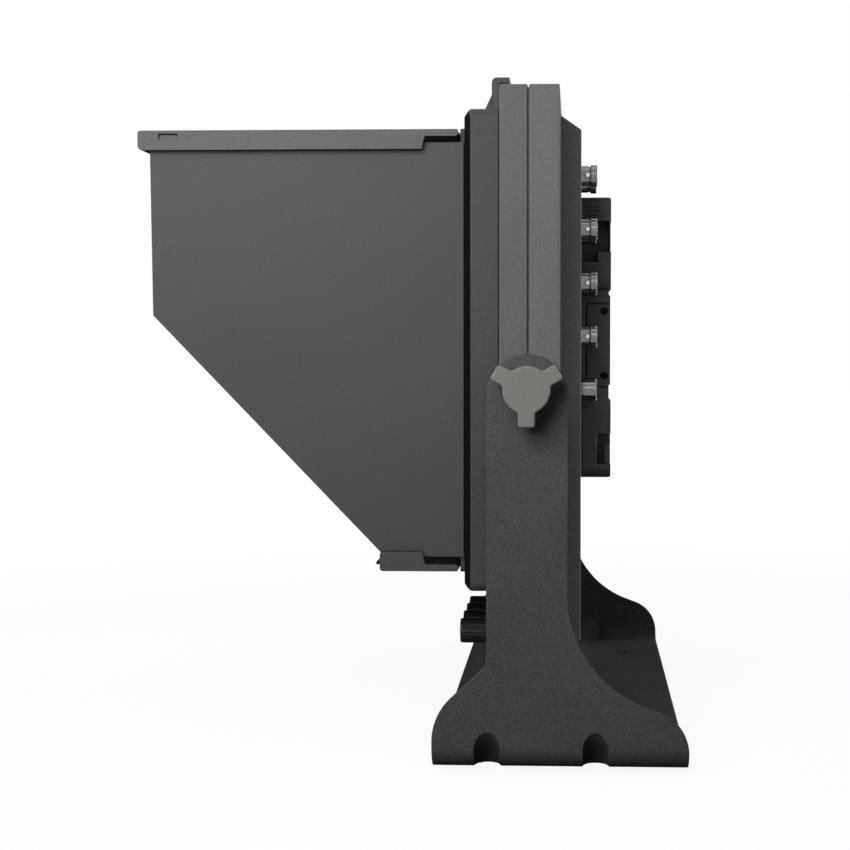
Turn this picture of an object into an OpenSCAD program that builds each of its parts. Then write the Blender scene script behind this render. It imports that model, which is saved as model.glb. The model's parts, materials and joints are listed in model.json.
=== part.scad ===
// Camera field monitor with a folding sun hood, on a bent steel tilt stand.
// Millimetres, Z up. The screen faces -Y. The origin is the centre of the stand's
// threaded hole, at the underside of the base plate.

/* [Stand] */
// Gap between the case and each arm
arm_gap = 5; // [3:0.5:8]
// Depth of the base plate, front to rear
base_d = 104.5; // [98:0.5:120]
// Thickness of the bent steel sheet
sheet_t = 3; // [2:0.5:4]
// Outer radius of the two bends
bend_r = 10; // [7:0.5:14]
// Width of each arm above its foot
arm_w = 33.2; // [28:0.2:36]
// Height of the arms' round tops above the tilt axis
arm_over = 14.1; // [12:0.1:16]
// Height of the case above the underside of the base
case_lift = 31.2; // [26:0.1:40]
// Distance of the tilt axis ahead of the base's centre
pivot_ahead = 13.4; // [8:0.1:18]
// Radius of the long sweep behind each arm
sweep_r = 49; // [42:1:56]
// Height at which that sweep leaves the arm
sweep_z = 71.5; // [66:0.1:76]
// Radius of the rounded rear toe
rear_toe_r = 17.7; // [12:0.1:20]
// Radius of the rounded front toe
front_toe_r = 24; // [18:1:28]
// Height of the front toe's centre
front_toe_z = 11.4; // [9:0.1:14]
// Radius of the stiffening dents pressed into the bends
dent_r = 5.2; // [4:0.05:6]
// Diameter of the four fixing holes in the base
fix_d = 4.25; // [3:0.05:6]
// Distance between fixing holes across the stand
fix_w = 225; // [200:1:240]
// Distance between fixing holes front to rear
fix_d_pitch = 65.8; // [50:0.2:75]
// Minor diameter of the centre thread
thread_d = 7.94; // [5:0.01:8.5]
// Diameter of each rubber foot
foot_d = 16; // [10:1:20]
// Height of each rubber foot
foot_h = 2; // [1:0.5:4]

/* [Tilt knobs] */
// Diameter of a knob's round middle
knob_hub_d = 18.96; // [16:0.02:22]
// Distance from the axis to the end of a lobe
knob_reach = 14.7; // [13:0.1:18]
// Width of a lobe
knob_lobe_w = 6.7; // [5:0.1:8]
// Thickness of the knob's head
knob_head_t = 10; // [7:0.5:14]
// Diameter of the threaded stud
stud_d = 6; // [5:0.5:7]

/* [Case] */
// Border of the case beside the picture
side_border = 14.1; // [13:0.1:16]
// Border of the case above the picture
top_border = 25.55; // [22:0.05:30]
// Border of the case below the picture, with the controls
bottom_border = 56.05; // [52:0.05:62]
// Depth of the case without its rear hump
case_d = 24.5; // [22:0.1:30]
// Distance of the front face ahead of the tilt axis
case_ahead = 11.7; // [11:0.1:13]
// Depth of the front half of the case
front_half_d = 11.8; // [11:0.1:13]
// Radius of the case's corners
case_r = 3; // [1:0.5:5]
// Wall thickness of the case
wall = 2.4; // [2:0.1:3]
// Width of the rear hump
hump_w = 260; // [240:1:280]
// Step from the bottom of the case up to the rear hump
hump_low_step = 9.7; // [6:0.1:14]
// Step from the top of the rear hump up to the top of the case
hump_high_step = 9.1; // [6:0.1:14]
// Depth of the rear hump
hump_d = 8.9; // [7:0.1:12]
// Slope of the hump's sides, measured in its face
hump_slope = 5.6; // [3:0.1:8]

/* [Screen] */
// Width of the picture
picture_w = 293.8; // [280:0.1:296]
// Height of the picture
picture_h = 165.2; // [158:0.1:168]

/* [Front controls] */
// Diameter of a picture knob
dial_d = 11; // [8:0.5:14]
// Length of a picture knob
dial_len = 18; // [12:0.5:22]
// Distance between picture knobs
dial_pitch = 24; // [18:0.5:26]
// Distance from the side of the case in to the outermost picture knob
dial_edge = 44; // [36:1:60]
// Height of the knobs and keys above the bottom of the case
control_z = 18.1; // [14:0.1:22]
// Width of a function key
key_w = 10; // [7:0.5:12]
// Height of a function key
key_h = 5; // [4:0.5:7]
// Distance between function keys
key_pitch = 18; // [14:0.5:19]
// Distance from the side of the case in to the power key
power_key_edge = 25; // [20:1:30]

/* [Rear connectors] */
// Outer diameter of a coaxial socket
coax_d = 9.64; // [9:0.02:10.5]
// Distance between coaxial sockets, up and down
coax_pitch = 23.4; // [20:0.1:24]
// Place of the outer column of coaxial sockets
coax_x = 96; // [92:1:100]
// Distance between the two columns
coax_column = 36; // [30:1:37]
// Depth of the connector recesses
recess_d = 4.5; // [3:0.1:5]

/* [Battery plate] */
// Width of the battery plate
plate_w = 100; // [94:1:102]
// Height of the battery plate
plate_h = 129.8; // [124:0.2:132]
// Depth of the battery plate
plate_d = 13.9; // [12:0.1:16]
// Width of the wedge channel at its mouth
wedge_w = 46; // [40:1:48]

/* [Sun hood] */
// Border of the hood's frame beside the picture
frame_side = 11.1; // [10:0.1:12]
// Border of the hood's frame above and below the picture
frame_edge = 16.1; // [14:0.1:18]
// Depth of the hood's frame
frame_d = 14.1; // [10:0.1:18]
// Set of the hinge ring inside the frame at each side
ring_side_set = 6.6; // [6:0.1:7]
// Set of the hinge ring inside the frame at top and bottom
ring_edge_set = 7.5; // [6:0.1:9]
// Reach of the top panel ahead of the hinge ring
top_reach = 132.4; // [120:0.1:140]
// Reach of the side panels ahead of the hinge ring
side_reach = 128; // [115:0.1:130]
// Reach of the bottom panel ahead of the hinge ring
bottom_reach = 33; // [30:0.1:40]
// Height of the side panels' straight front edge
front_edge_h = 70.7; // [60:0.1:80]
// Thickness of the top and bottom panels
flap_t = 3; // [2.5:0.1:3.5]
// Thickness of the side panels
side_t = 1.5; // [1.2:0.1:2]
// Depth of the turned edges of the top and bottom panels
lip_h = 5.2; // [3:0.1:7]
// Width of a hook
hook_w = 15; // [10:1:20]

/* [Hidden] */
$fn = 48;

// Shared clearances and small fits
gap = 0.3;
fit = 0.1;
running = 0.06;
over = 1;

// Main places worked out from the sizes above
case_w = picture_w + 2 * side_border;
case_h = picture_h + top_border + bottom_border;
stand_w = case_w + 2 * (arm_gap + sheet_t);
pivot_y = -pivot_ahead;
pivot_z = case_lift + case_h / 2;
arm_top = pivot_z + arm_over;
arm_out = stand_w / 2;
arm_in = arm_out - sheet_t;
case_front = pivot_y - case_ahead;
case_rear = case_front + case_d;
seam_y = case_front + front_half_d;
case_top = pivot_z + case_h / 2;
case_bottom = pivot_z - case_h / 2;
case_x = case_w / 2;
inner_front = case_front + wall;
inner_rear = case_rear - wall;
hump_rear = case_rear + hump_d;
hump_inner = hump_rear - wall;
hump_bottom = case_bottom + hump_low_step;
hump_top = case_top - hump_high_step;
screen_z = case_bottom + bottom_border + picture_h / 2;
control_row = case_bottom + control_z;
dial_first_x = case_x - dial_edge;
power_key_x = power_key_edge - case_x;

// Stand values
kink_r = 4;
rear_slope = 20;
front_slope = 43;
arc_steps = 14;
dent_y_shares = [-0.284, 0.139];
dent_meet = 8.15;
dent_wall = 1.8;
dent_reach = 20;
pilot_d = 2.4;
pilot_step = 4.5;
stud_hole_r = stud_d / 2 + gap;
foot_set_x = 29;
foot_set_y = 14.25;
foot_x = arm_out - foot_set_x;
foot_y = base_d / 2 - foot_set_y;
insert_collar_d = 20;
insert_collar_t = 2;
insert_body_d = 13;
insert_len = 10;

// Tilt knob values
washer_t = 1.4;
washer_d = 18;
collar_d = 16;
lobe_r = 1;
hub_fillet = 1.6;
pivot_washer_d = 24;
insert_d = 14;
insert_flange_d = 18;
insert_flange_t = 2;
pivot_insert_len = 7.6;
stud_play = 0.05;

// Case values
seam_groove = 0.6;
tongue_len = 3;
tongue_t = 1;
boss_d = 5.8;
boss_inset_x = 11;
boss_inset_z = 5.7;
boss_mid_x = 60;
screw_d = 2.4;
screw_head_d = 5.2;
screw_head_t = 1.6;
glass_edge = 5;
glass_t = 1.5;
lcd_edge = 6.4;
lcd_t = 5;
chassis_t = 1;
chassis_drop = 24;
chassis_hole_d = 18;
board_t = 1.6;
board_side_gap = 3;
power_board_h = 28.8;
standoff_len = 5;
standoff_d = 5;
vent_w = 2.4;
vent_h = 12;
vent_pitch = 5;
vent_count = 16;

// Front control values
dial_flutes = 18;
dial_flute = 0.45;
dial_bore_d = 6;
dial_bore_len = 12;
dial_skirt_t = 2;
dial_tip_share = 0.94;
encoder_w = 12;
encoder_t = 4;
key_proud = 1.2;
key_flange = 1;
key_flange_t = 1.4;
key_travel = 0.5;
key_count = 5;
power_key_d = 8;
power_key_step = 18;
led_d = 2;
led_rise = 9;
switch_w = 6;
switch_cap_d = 3;
speaker_w = 40;
speaker_h = 18;
speaker_t = 6;
slot_w = 1.6;
slot_h = 12;
slot_pitch = 4;
slot_count = 8;

// Rear connector values
coax_top_drop = 22.6;
coax_rows = 5;
coax_len = 11.5;
coax_neck_d = 9.2;
coax_collar_len = 2.9;
coax_bore_d = 8.1;
coax_bore_len = 9;
coax_core_d = 4.9;
coax_core_set = 2;
chip_w = 14;
sink_w = 60;
sink_h = 42;
sink_fins = 9;
fin_gap = 3;
post_d = 3;
mark_w = 1.2;
coax_pin_d = 1.4;
lug_d = 1.9;
lug_proud = 0.7;
lug_set = 4.3;
nut_w = 12.6;
nut_t = 1.6;
coax_body_w = 10.5;
panel_t = 1.5;
panel_rim = 1.8;
recess_edge = 8.7;
recess_margin = 10.5;
power_edge = 16;
power_z_rise = 48;
power_w = 58;
power_x = hump_w / 2 - power_edge - power_w / 2;
power_h = 36;
panel_face = hump_rear - recess_d;
panel_back = panel_face - panel_t;
port_proud = 1;

// Battery plate values
plate_rise = 79.5;
plate_bottom = case_bottom + plate_rise;
plate_top = plate_bottom + plate_h;
plate_back = hump_rear + plate_d;
plate_base_t = 2.7;
plate_r = 1.2;
rail_w = 23;
lip_t = 3.7;
channel_d = 8.2;
wedge_drop = 5;
wedge_under = 3;
channel_floor_rise = 18;
button_h = 8;
button_t = 2.6;
button_travel = 3;
button_len = 8.5;
plate_screw_shares = [0.33, 0.7];

// Hood values
ring_t = 1.9;
frame_rear = case_front - gap;
frame_front = frame_rear - frame_d;
ring_front = frame_front - ring_t;
frame_chamfer_d = 2.6;
frame_chamfer_w = 3.2;
frame_r = 4;
frame_wall = 2;
frame_w = picture_w + 2 * frame_side;
frame_h = picture_h + 2 * frame_edge;
ring_w = frame_w - 2 * ring_side_set;
ring_h = frame_h - 2 * ring_edge_set;
window_w = picture_w + glass_edge;
window_h = picture_h + glass_edge;
flap_set = 0.75;
flap_over = 5.1;
flap_heel = 0.8;
side_set = 0.65;
side_gap = 2;
side_low_gap = 2.65;
lip_t_side = 1.5;
lip_set = 14.2;
lip_r = 1.2;
lip_corner = [1.9, 2.1];
toe_corner = [0.8, 2.2];
pin_d = 1.2;
hinge_gap = 0.35;
knuckle_w = 9;
barrel_side_r = 1.25;
knuckle_set_x = 57.4;
knuckle_set_z = 31.2;
knuckle_x = ring_w / 2 - knuckle_set_x;
knuckle_z = ring_h / 2 - knuckle_set_z;
pin_end = 14;
latch_set = 8.85;
latch_len = 7.65;
latch_h = 2;
latch_drop = 0.55;
latch_deep = 1.2;
front_lean = 0.9;
toe_set = 33.2;
toe_w = 2;
toe_h = 2.1;
hook_t = 2.5;
hook_strip_t = 3.1;
hook_reach = 4.2;
hook_r = 2;
hook_inset = 15.5;
hook_mid_x = frame_w / 2 - hook_inset;
hook_pad_t = 1.4;
gusset_t = 3;
gusset_d = 3.65;
gusset_h = 7.5;
bumper_w = 6;
bumper_d = 1.7;
bumper_h = 2.7;
bumper_low = 0.5;
bumper_nose_h = 1.1;
bumper_seat = 1.5;
bumper_set = 8.5;

// Basic shapes: boxes by corners, round bars and flat outlines pushed out along an axis
module box(low, high) {
    translate(low) cube(high - low);
}

module bar_x(d, x0, x1, y, z) {
    translate([x0, y, z]) rotate([0, 90, 0]) cylinder(d = d, h = x1 - x0);
}

module bar_y(d, y0, y1, x, z) {
    translate([x, y1, z]) rotate([90, 0, 0]) cylinder(d = d, h = y1 - y0);
}

module bar_z(d, z0, z1, x, y) {
    translate([x, y, z0]) cylinder(d = d, h = z1 - z0);
}

// A flat outline drawn in X and Z, from y0 to y1
module plate_y(y0, y1) {
    translate([0, y1, 0]) rotate([90, 0, 0]) linear_extrude(y1 - y0) children();
}

// A flat outline drawn in Y and Z, from x0 to x1
module plate_x(x0, x1) {
    translate([x0, 0, 0]) rotate([90, 0, 90]) linear_extrude(x1 - x0) children();
}

module both_sides() {
    children();
    mirror([1, 0, 0]) children();
}

// Rectangle with round corners, centred across, between two heights
module round_rect(w, z0, z1, r) {
    translate([-w / 2 + r, z0]) square([w - 2 * r, z1 - z0]);
    translate([-w / 2, z0 + r]) square([w, z1 - z0 - 2 * r]);
    for (x = [-w / 2 + r, w / 2 - r], z = [z0 + r, z1 - r]) translate([x, z]) circle(r);
}

function arc(c, r, a0, a1, n = arc_steps) =
    [for (i = [0:n]) let (a = a0 + (a1 - a0) * i / n) c + r * [cos(a), sin(a)]];

// Stand: the outline of an arm and its foot, seen from the side
arm_front = pivot_y - arm_w / 2;
arm_rear = pivot_y + arm_w / 2;
foot_front = -base_d / 2;
foot_rear = base_d / 2;
front_toe = [foot_front + front_toe_r, front_toe_z];
front_toe_end = front_toe + front_toe_r * [-cos(90 - front_slope), sin(90 - front_slope)];
kink_z = front_toe_end[1] + (arm_front - front_toe_end[0]) * tan(front_slope);
kink_rise = kink_r * tan((90 - front_slope) / 2);
sweep_c = [arm_rear + sweep_r, sweep_z];
sweep_end = sweep_c - sweep_r * [sin(rear_slope), cos(rear_slope)];
rear_toe_y = foot_rear - rear_toe_r;
rear_toe_start = rear_toe_y + rear_toe_r * sin(rear_slope);
rear_toe_z = sweep_end[1] - (rear_toe_start - sweep_end[0]) * tan(rear_slope)
    - rear_toe_r * cos(rear_slope);

module arm_outline() {
    polygon(concat(
        [[foot_front, 0]],
        arc(front_toe, front_toe_r, 180, 90 + front_slope),
        arc([arm_front - kink_r, kink_z + kink_rise], kink_r, front_slope - 90, 0, 6),
        arc([pivot_y, arm_top - arm_w / 2], arm_w / 2, 180, 0, 60),
        arc(sweep_c, sweep_r, 180, 270 - rear_slope),
        arc([rear_toe_y, rear_toe_z], rear_toe_r, 90 - rear_slope, 0),
        [[foot_rear, 0]]));
}

// Channel section of the bent sheet, seen from the front
module bend_outline(w, z0, r) {
    translate([-w / 2, z0 + r]) square([w, arm_top + over - z0 - r]);
    translate([-w / 2 + r, z0]) square([w - 2 * r, r + over]);
    for (x = [-w / 2 + r, w / 2 - r]) translate([x, z0 + r]) circle(r);
}

module dent(d, y) {
    translate([arm_out, y, dent_meet]) rotate([0, 45, 0])
        translate([0, 0, -dent_reach]) cylinder(d = d, h = 2 * dent_reach);
}

module fixing_holes() {
    for (x = [-fix_w / 2, fix_w / 2], s = [-1, 1]) {
        bar_z(fix_d, -over, sheet_t + over, x, s * fix_d_pitch / 2);
        bar_z(pilot_d, -over, sheet_t + over, x, s * (fix_d_pitch / 2 - pilot_step));
    }
}

module stand_bracket() {
    color("#2c2c2d") difference() {
        union() {
            intersection() {
                plate_y(foot_front, foot_rear) difference() {
                    bend_outline(stand_w, 0, bend_r);
                    bend_outline(stand_w - 2 * sheet_t, sheet_t, bend_r - sheet_t);
                }
                plate_x(-arm_out, arm_out) arm_outline();
            }
            both_sides() for (s = dent_y_shares) intersection() {
                dent(2 * (dent_r + dent_wall), s * base_d);
                plate_y(foot_front, foot_rear) bend_outline(stand_w, 0, bend_r);
            }
        }
        both_sides() for (s = dent_y_shares) dent(2 * dent_r, s * base_d);
        bar_x(2 * stud_hole_r, -arm_out - over, arm_out + over, pivot_y, pivot_z);
        bar_z(insert_body_d + 2 * fit, -over, sheet_t + over, 0, 0);
        fixing_holes();
    }
}

module tripod_insert() {
    color("#8d8f92") difference() {
        union() {
            bar_z(insert_body_d, 0, insert_len, 0, 0);
            bar_z(insert_collar_d, sheet_t, sheet_t + insert_collar_t, 0, 0);
            translate([0, 0, sheet_t])
                cylinder(d = insert_collar_d - over, h = insert_len - sheet_t, $fn = 6);
        }
        bar_z(thread_d, -over, insert_len + over, 0, 0);
    }
}

module foot_pads() {
    color("#1b1b1b") for (x = [-foot_x, foot_x], y = [-foot_y, foot_y])
        bar_z(foot_d, -foot_h, 0, x, y);
}

// Tilt hardware, drawn on the right and mirrored for the left
module clamp_washers() {
    color("#a2a4a6") both_sides() difference() {
        bar_x(washer_d, arm_out, arm_out + washer_t, pivot_y, pivot_z);
        bar_x(2 * stud_hole_r, arm_out - over, arm_out + washer_t + over, pivot_y, pivot_z);
    }
}

// Outline of the three-lobed knob: a disc, three square-ended lobes and six small fillets
module lobe_outline() {
    w = knob_lobe_w / 2;
    h = knob_hub_d / 2;
    side = w + hub_fillet;
    rise = sqrt(pow(h + hub_fillet, 2) - pow(side, 2));
    touch = h / (h + hub_fillet);
    turn = atan2(rise, side);
    circle(h);
    for (a = [30, 150, 270]) rotate(a - 90) {
        polygon(concat(
            [[-side * touch, 0], [side * touch, 0]],
            arc([side, rise], hub_fillet, 180 + turn, 180, 5),
            arc([w - lobe_r, knob_reach - lobe_r], lobe_r, 0, 90, 5),
            arc([lobe_r - w, knob_reach - lobe_r], lobe_r, 90, 180, 5),
            arc([-side, rise], hub_fillet, 0, -turn, 5)));
    }
}

module tilt_knob() {
    head_x = arm_out + washer_t + gap;
    neck_t = washer_d / 4;
    color("#7f7d79") translate([0, pivot_y, pivot_z]) {
        bar_x(collar_d, head_x, head_x + neck_t, 0, 0);
        plate_x(head_x + neck_t - over, head_x + neck_t + knob_head_t) lobe_outline();
        bar_x(stud_d, case_x - pivot_insert_len + gap * 2, head_x + over, 0, 0);
    }
}

module tilt_knob_right() {
    tilt_knob();
}

module tilt_knob_left() {
    mirror([1, 0, 0]) tilt_knob();
}

module pivot_inserts() {
    color("#b39b5a") both_sides() difference() {
        union() {
            bar_x(insert_d, case_x - pivot_insert_len, case_x, pivot_y, pivot_z);
            bar_x(insert_flange_d, case_x - wall - insert_flange_t, case_x - wall, pivot_y, pivot_z);
        }
        bar_x(stud_d + 2 * stud_play, case_x - pivot_insert_len - over, case_x + over, pivot_y, pivot_z);
    }
}

module pivot_washers() {
    color("#151515") both_sides() difference() {
        bar_x(pivot_washer_d, case_x, arm_in - gap, pivot_y, pivot_z);
        bar_x(2 * stud_hole_r, case_x - over, arm_in + over, pivot_y, pivot_z);
    }
}

// Case: two shells that meet at a grooved seam with a tongue inside it
module case_outline(inset) {
    round_rect(case_w - 2 * inset, case_bottom + inset, case_top - inset, max(case_r - inset, fit));
}

// Rear hump with four sloping sides, from y0 back
module hump_form(inset, y0) {
    zb = hump_bottom + inset;
    zt = hump_top - inset;
    x = hump_w / 2 - inset;
    rear = hump_rear - inset;
    intersection() {
        plate_x(-x, x) polygon([[y0, zb], [case_rear, zb], [rear, zb + hump_slope],
            [rear, zt - hump_slope], [case_rear, zt], [y0, zt]]);
        translate([0, 0, zb]) linear_extrude(zt - zb) polygon([[-x, y0], [x, y0], [x, case_rear],
            [x - hump_slope, rear], [hump_slope - x, rear], [-x, case_rear]]);
    }
}

boss_places = [for (x = [case_x - boss_inset_x, boss_mid_x], s = [-1, 1],
    z = [case_bottom + boss_inset_z, case_top - boss_inset_z]) [s * x, z]];

function dial_x(i) = dial_first_x - i * dial_pitch;
function key_x(i) = power_key_x + power_key_step + (key_count - 1 - i) * key_pitch;

module control_holes() {
    for (i = [0:3])
        bar_y(dial_bore_d + 4 * gap, case_front - over, inner_front + over, dial_x(i), control_row);
    for (i = [0:key_count - 1]) translate([key_x(i), 0, control_row])
        box([-key_w / 2 - gap, case_front - over, -key_h / 2 - gap],
            [key_w / 2 + gap, inner_front + over, key_h / 2 + gap]);
    bar_y(power_key_d + 2 * gap, case_front - over, inner_front + over, power_key_x, control_row);
    bar_y(led_d + 2 * fit, case_front - over, inner_front + over, power_key_x, control_row + led_rise);
    for (i = [0:slot_count - 1]) translate([(i - (slot_count - 1) / 2) * slot_pitch, 0, control_row])
        box([-slot_w / 2, case_front - over, -slot_h / 2], [slot_w / 2, inner_front + over, slot_h / 2]);
}

module case_front_shell() {
    color("#39393a") difference() {
        union() {
            difference() {
                plate_y(case_front, seam_y - seam_groove / 2) case_outline(0);
                plate_y(inner_front, seam_y) case_outline(wall);
                plate_y(seam_y - tongue_len - fit, seam_y) case_outline(wall - tongue_t - fit);
            }
            for (p = boss_places) bar_y(boss_d, inner_front - fit, seam_y - fit, p[0], p[1]);
        }
        plate_y(case_front - over, inner_front + over)
            round_rect(picture_w + glass_edge, screen_z - (picture_h + glass_edge) / 2,
                screen_z + (picture_h + glass_edge) / 2, case_r / 2);
        for (p = boss_places) bar_y(screw_d + fit, inner_front, seam_y + over, p[0], p[1]);
        bar_x(insert_d + 2 * fit, -case_x - over, case_x + over, pivot_y, pivot_z);
        control_holes();
    }
}

// Recesses in the hump for the connectors: centre, width and height of each opening
coax_top_z = hump_top - coax_top_drop;
coax_mid_x = coax_x - coax_column / 2;
coax_low_z = coax_top_z - (coax_rows - 1) * coax_pitch;
recess_w = coax_column + 2 * recess_edge;
recess_mid_z = (coax_top_z + coax_low_z) / 2;
recess_h = coax_top_z - coax_low_z + 2 * recess_margin;
power_z = case_bottom + power_z_rise;
recesses = [[coax_mid_x, recess_mid_z, recess_w, recess_h],
    [-coax_mid_x, recess_mid_z, recess_w, recess_h],
    [-power_x, power_z, power_w, power_h]];

module recess_block(r, grow, y0, y1) {
    translate([r[0], 0, r[1]])
        box([-r[2] / 2 - grow, y0, -r[3] / 2 - grow], [r[2] / 2 + grow, y1, r[3] / 2 + grow]);
}

module vents() {
    for (i = [0:vent_count - 1]) translate([(i - (vent_count - 1) / 2) * vent_pitch, 0, 0]) {
        for (z = [plate_top + vent_h / 2, plate_bottom - vent_h * 3 / 2])
            box([-vent_w / 2, case_rear, z], [vent_w / 2, hump_rear + over, z + vent_h]);
    }
}

plate_screw_x = plate_w / 2 - rail_w / 2;
plate_screw_z = [for (share = plate_screw_shares) plate_bottom + share * plate_h];

module case_rear_shell() {
    color("#39393a") difference() {
        union() {
            difference() {
                union() {
                    plate_y(seam_y + seam_groove / 2, case_rear) case_outline(0);
                    plate_y(seam_y - tongue_len, seam_y + seam_groove) case_outline(wall - tongue_t);
                    hump_form(0, inner_rear);
                }
                plate_y(seam_y - tongue_len - over, inner_rear) case_outline(wall);
                hump_form(wall, inner_rear - over);
            }
            for (p = boss_places) bar_y(boss_d, seam_y, inner_rear + fit, p[0], p[1]);
        }
        for (p = boss_places) {
            bar_y(screw_d + 2 * fit, seam_y - over, case_rear + over, p[0], p[1]);
            bar_y(screw_head_d + 2 * fit, case_rear - screw_head_t, case_rear + over, p[0], p[1]);
        }
        bar_x(insert_d + 2 * fit, -case_x - over, case_x + over, pivot_y, pivot_z);
        for (r = recesses) recess_block(r, 0, case_rear, hump_rear + over);
        for (x = [-plate_screw_x, plate_screw_x], z = plate_screw_z)
            bar_y(screw_d + fit, hump_inner - over, hump_rear + over, x, z);
        vents();
    }
}

module case_screws() {
    color("#3c3c3e") for (p = boss_places) {
        bar_y(screw_d, inner_front + wall, case_rear - screw_head_t + fit, p[0], p[1]);
        bar_y(screw_head_d, case_rear - screw_head_t, case_rear - fit, p[0], p[1]);
    }
}

// Screen stack behind the front shell
glass_back = inner_front + glass_t;
lcd_back = glass_back + lcd_t;
chassis_back = lcd_back + chassis_t;
board_front = chassis_back + standoff_len;
board_back = board_front + board_t;

module screen_block(edge, y0, y1) {
    box([-picture_w / 2 - edge, y0, screen_z - picture_h / 2 - edge],
        [picture_w / 2 + edge, y1, screen_z + picture_h / 2 + edge]);
}

module screen_glass() {
    color("#101114") screen_block(glass_edge, inner_front, glass_back);
}

module lcd_panel() {
    color("#2a2c30") screen_block(lcd_edge, glass_back, lcd_back);
}

module chassis_plate() {
    color("#9a9c9e") difference() {
        box([-picture_w / 2, lcd_back, screen_z - picture_h / 2 - chassis_drop],
            [picture_w / 2, chassis_back, screen_z + picture_h / 2 + lcd_edge]);
        for (x = [-picture_w / 3, 0, picture_w / 3])
            bar_y(chassis_hole_d, lcd_back - over, chassis_back + over, x, screen_z - picture_h / 4);
    }
}

main_low = [-hump_w / 2 + board_side_gap, recess_mid_z - recess_h / 2];
main_high = [hump_w / 2 - board_side_gap, recess_mid_z + recess_h / 2];
power_low = [-power_x - power_w / 2, power_z - power_board_h / 2];
power_high = [power_x - power_w / 2, power_z + power_board_h / 2];

module standoffs_under(low, high) {
    for (x = [low[0] + standoff_d, high[0] - standoff_d], z = [low[1] + standoff_d, high[1] - standoff_d])
        bar_y(standoff_d, chassis_back, board_front, x, z);
}

module board_standoffs() {
    color("#c0a668") {
        standoffs_under(main_low, main_high);
        standoffs_under(power_low, power_high);
    }
}

module main_board() {
    color("#1f4a2c") {
        box([main_low[0], board_front, main_low[1]], [main_high[0], board_back, main_high[1]]);
        for (x = [-sink_w / 4, sink_w / 4]) translate([x, 0, recess_mid_z - sink_h / 2])
            box([-chip_w / 2, board_back - fit, -chip_w / 2], [chip_w / 2, board_back + board_t, chip_w / 2]);
    }
}

module heat_sink() {
    color("#b4b6b8") difference() {
        box([-sink_w / 2, board_back, recess_mid_z], [sink_w / 2, panel_back, recess_mid_z + sink_h]);
        for (i = [0:sink_fins - 1]) translate([(i - (sink_fins - 1) / 2) * sink_w / (sink_fins + 1), 0, 0])
            box([-fin_gap / 2, board_back + board_t, recess_mid_z - over],
                [fin_gap / 2, panel_back + over, recess_mid_z + sink_h + over]);
    }
}

module power_board() {
    color("#23482f") {
        box([power_low[0], board_front, power_low[1]], [power_high[0], board_back, power_high[1]]);
        box([power_high[0] - chip_w * 2, board_back - fit, power_low[1] + fit],
            [power_high[0] - chip_w, board_back + board_t * 3, power_low[1] + chip_w]);
    }
}

// Control boards and what they carry
strip_front = inner_front + encoder_t;
strip_back = strip_front + board_t;
post_x = [key_x(0) + key_pitch / 2, (key_x(key_count - 1) + power_key_x) / 2];

module tact_switch(x) {
    box([x - switch_w / 2, strip_front - switch_w / 5, control_row - switch_w / 2],
        [x + switch_w / 2, strip_front + fit, control_row + switch_w / 2]);
    bar_y(switch_cap_d, inner_front + gap + key_flange_t + key_travel + gap, strip_front, x, control_row);
}

module key_board() {
    color("#1f4a2c") {
        box([power_key_x - key_w, strip_front, control_row - speaker_h / 2],
            [post_x[0] + key_flange * 3, strip_back, control_row + speaker_h / 2 + fit]);
        for (i = [0:key_count - 1]) tact_switch(key_x(i));
        tact_switch(power_key_x);
        for (x = post_x) bar_y(post_d, inner_front, strip_front + fit, x, control_row);
    }
}

module encoder_board() {
    color("#1f4a2c") box([dial_x(3) - encoder_w * 3 / 4, strip_front, control_row - speaker_h / 2],
        [dial_x(0) + encoder_w * 3 / 4, strip_back, control_row + speaker_h / 2]);
}

module knob_encoders() {
    color("#a8aaac") for (i = [0:3]) {
        translate([dial_x(i), 0, control_row])
            box([-encoder_w / 2, inner_front, -encoder_w / 2], [encoder_w / 2, strip_front, encoder_w / 2]);
        bar_y(dial_bore_d, case_front - gap - dial_bore_len + fit, inner_front + fit, dial_x(i), control_row);
    }
}

module speaker() {
    color("#232323") {
        box([-speaker_w / 2, inner_front, control_row - speaker_h / 2],
            [speaker_w / 2, inner_front + speaker_t / 2, control_row + speaker_h / 2]);
        bar_y(speaker_h - wall, inner_front + fit, inner_front + speaker_t, 0, control_row);
    }
}

module status_led() {
    color("#c8d8c8") {
        bar_y(led_d, case_front - fit, strip_front, power_key_x, control_row + led_rise);
    }
}

// Front controls that move
function flute_outline(r) = [for (i = [0:dial_flutes * 6 - 1]) let (a = 60 / dial_flutes * i)
    (r - dial_flute * (1 - cos(dial_flutes * a)) / 2) * [cos(a), sin(a)]];

module picture_knob(i) {
    rear = case_front - gap;
    front = rear - dial_len;
    color("#161617") difference() {
        union() {
            bar_y(dial_d, rear - dial_skirt_t, rear, dial_x(i), control_row);
            translate([dial_x(i), 0, control_row]) plate_y(front + over, rear - dial_skirt_t + fit)
                polygon(flute_outline(dial_d / 2 - fit));
            bar_y(dial_d * dial_tip_share, front, front + over + fit, dial_x(i), control_row);
        }
        bar_y(dial_bore_d + 2 * running, rear - dial_bore_len, rear + over, dial_x(i), control_row);
        translate([dial_x(i), 0, control_row + dial_d / 4])
            box([-mark_w / 2, front - over, 0], [mark_w / 2, front + mark_w / 2, dial_d / 2]);
    }
}

module function_key(i) {
    color("#202021") translate([key_x(i), 0, control_row]) {
        plate_y(case_front - key_proud, inner_front + gap * 2)
            round_rect(key_w, -key_h / 2, key_h / 2, over);
        box([-key_w / 2 - key_flange, inner_front + gap, -key_h / 2 - key_flange],
            [key_w / 2 + key_flange, inner_front + gap + key_flange_t, key_h / 2 + key_flange]);
    }
}

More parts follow.
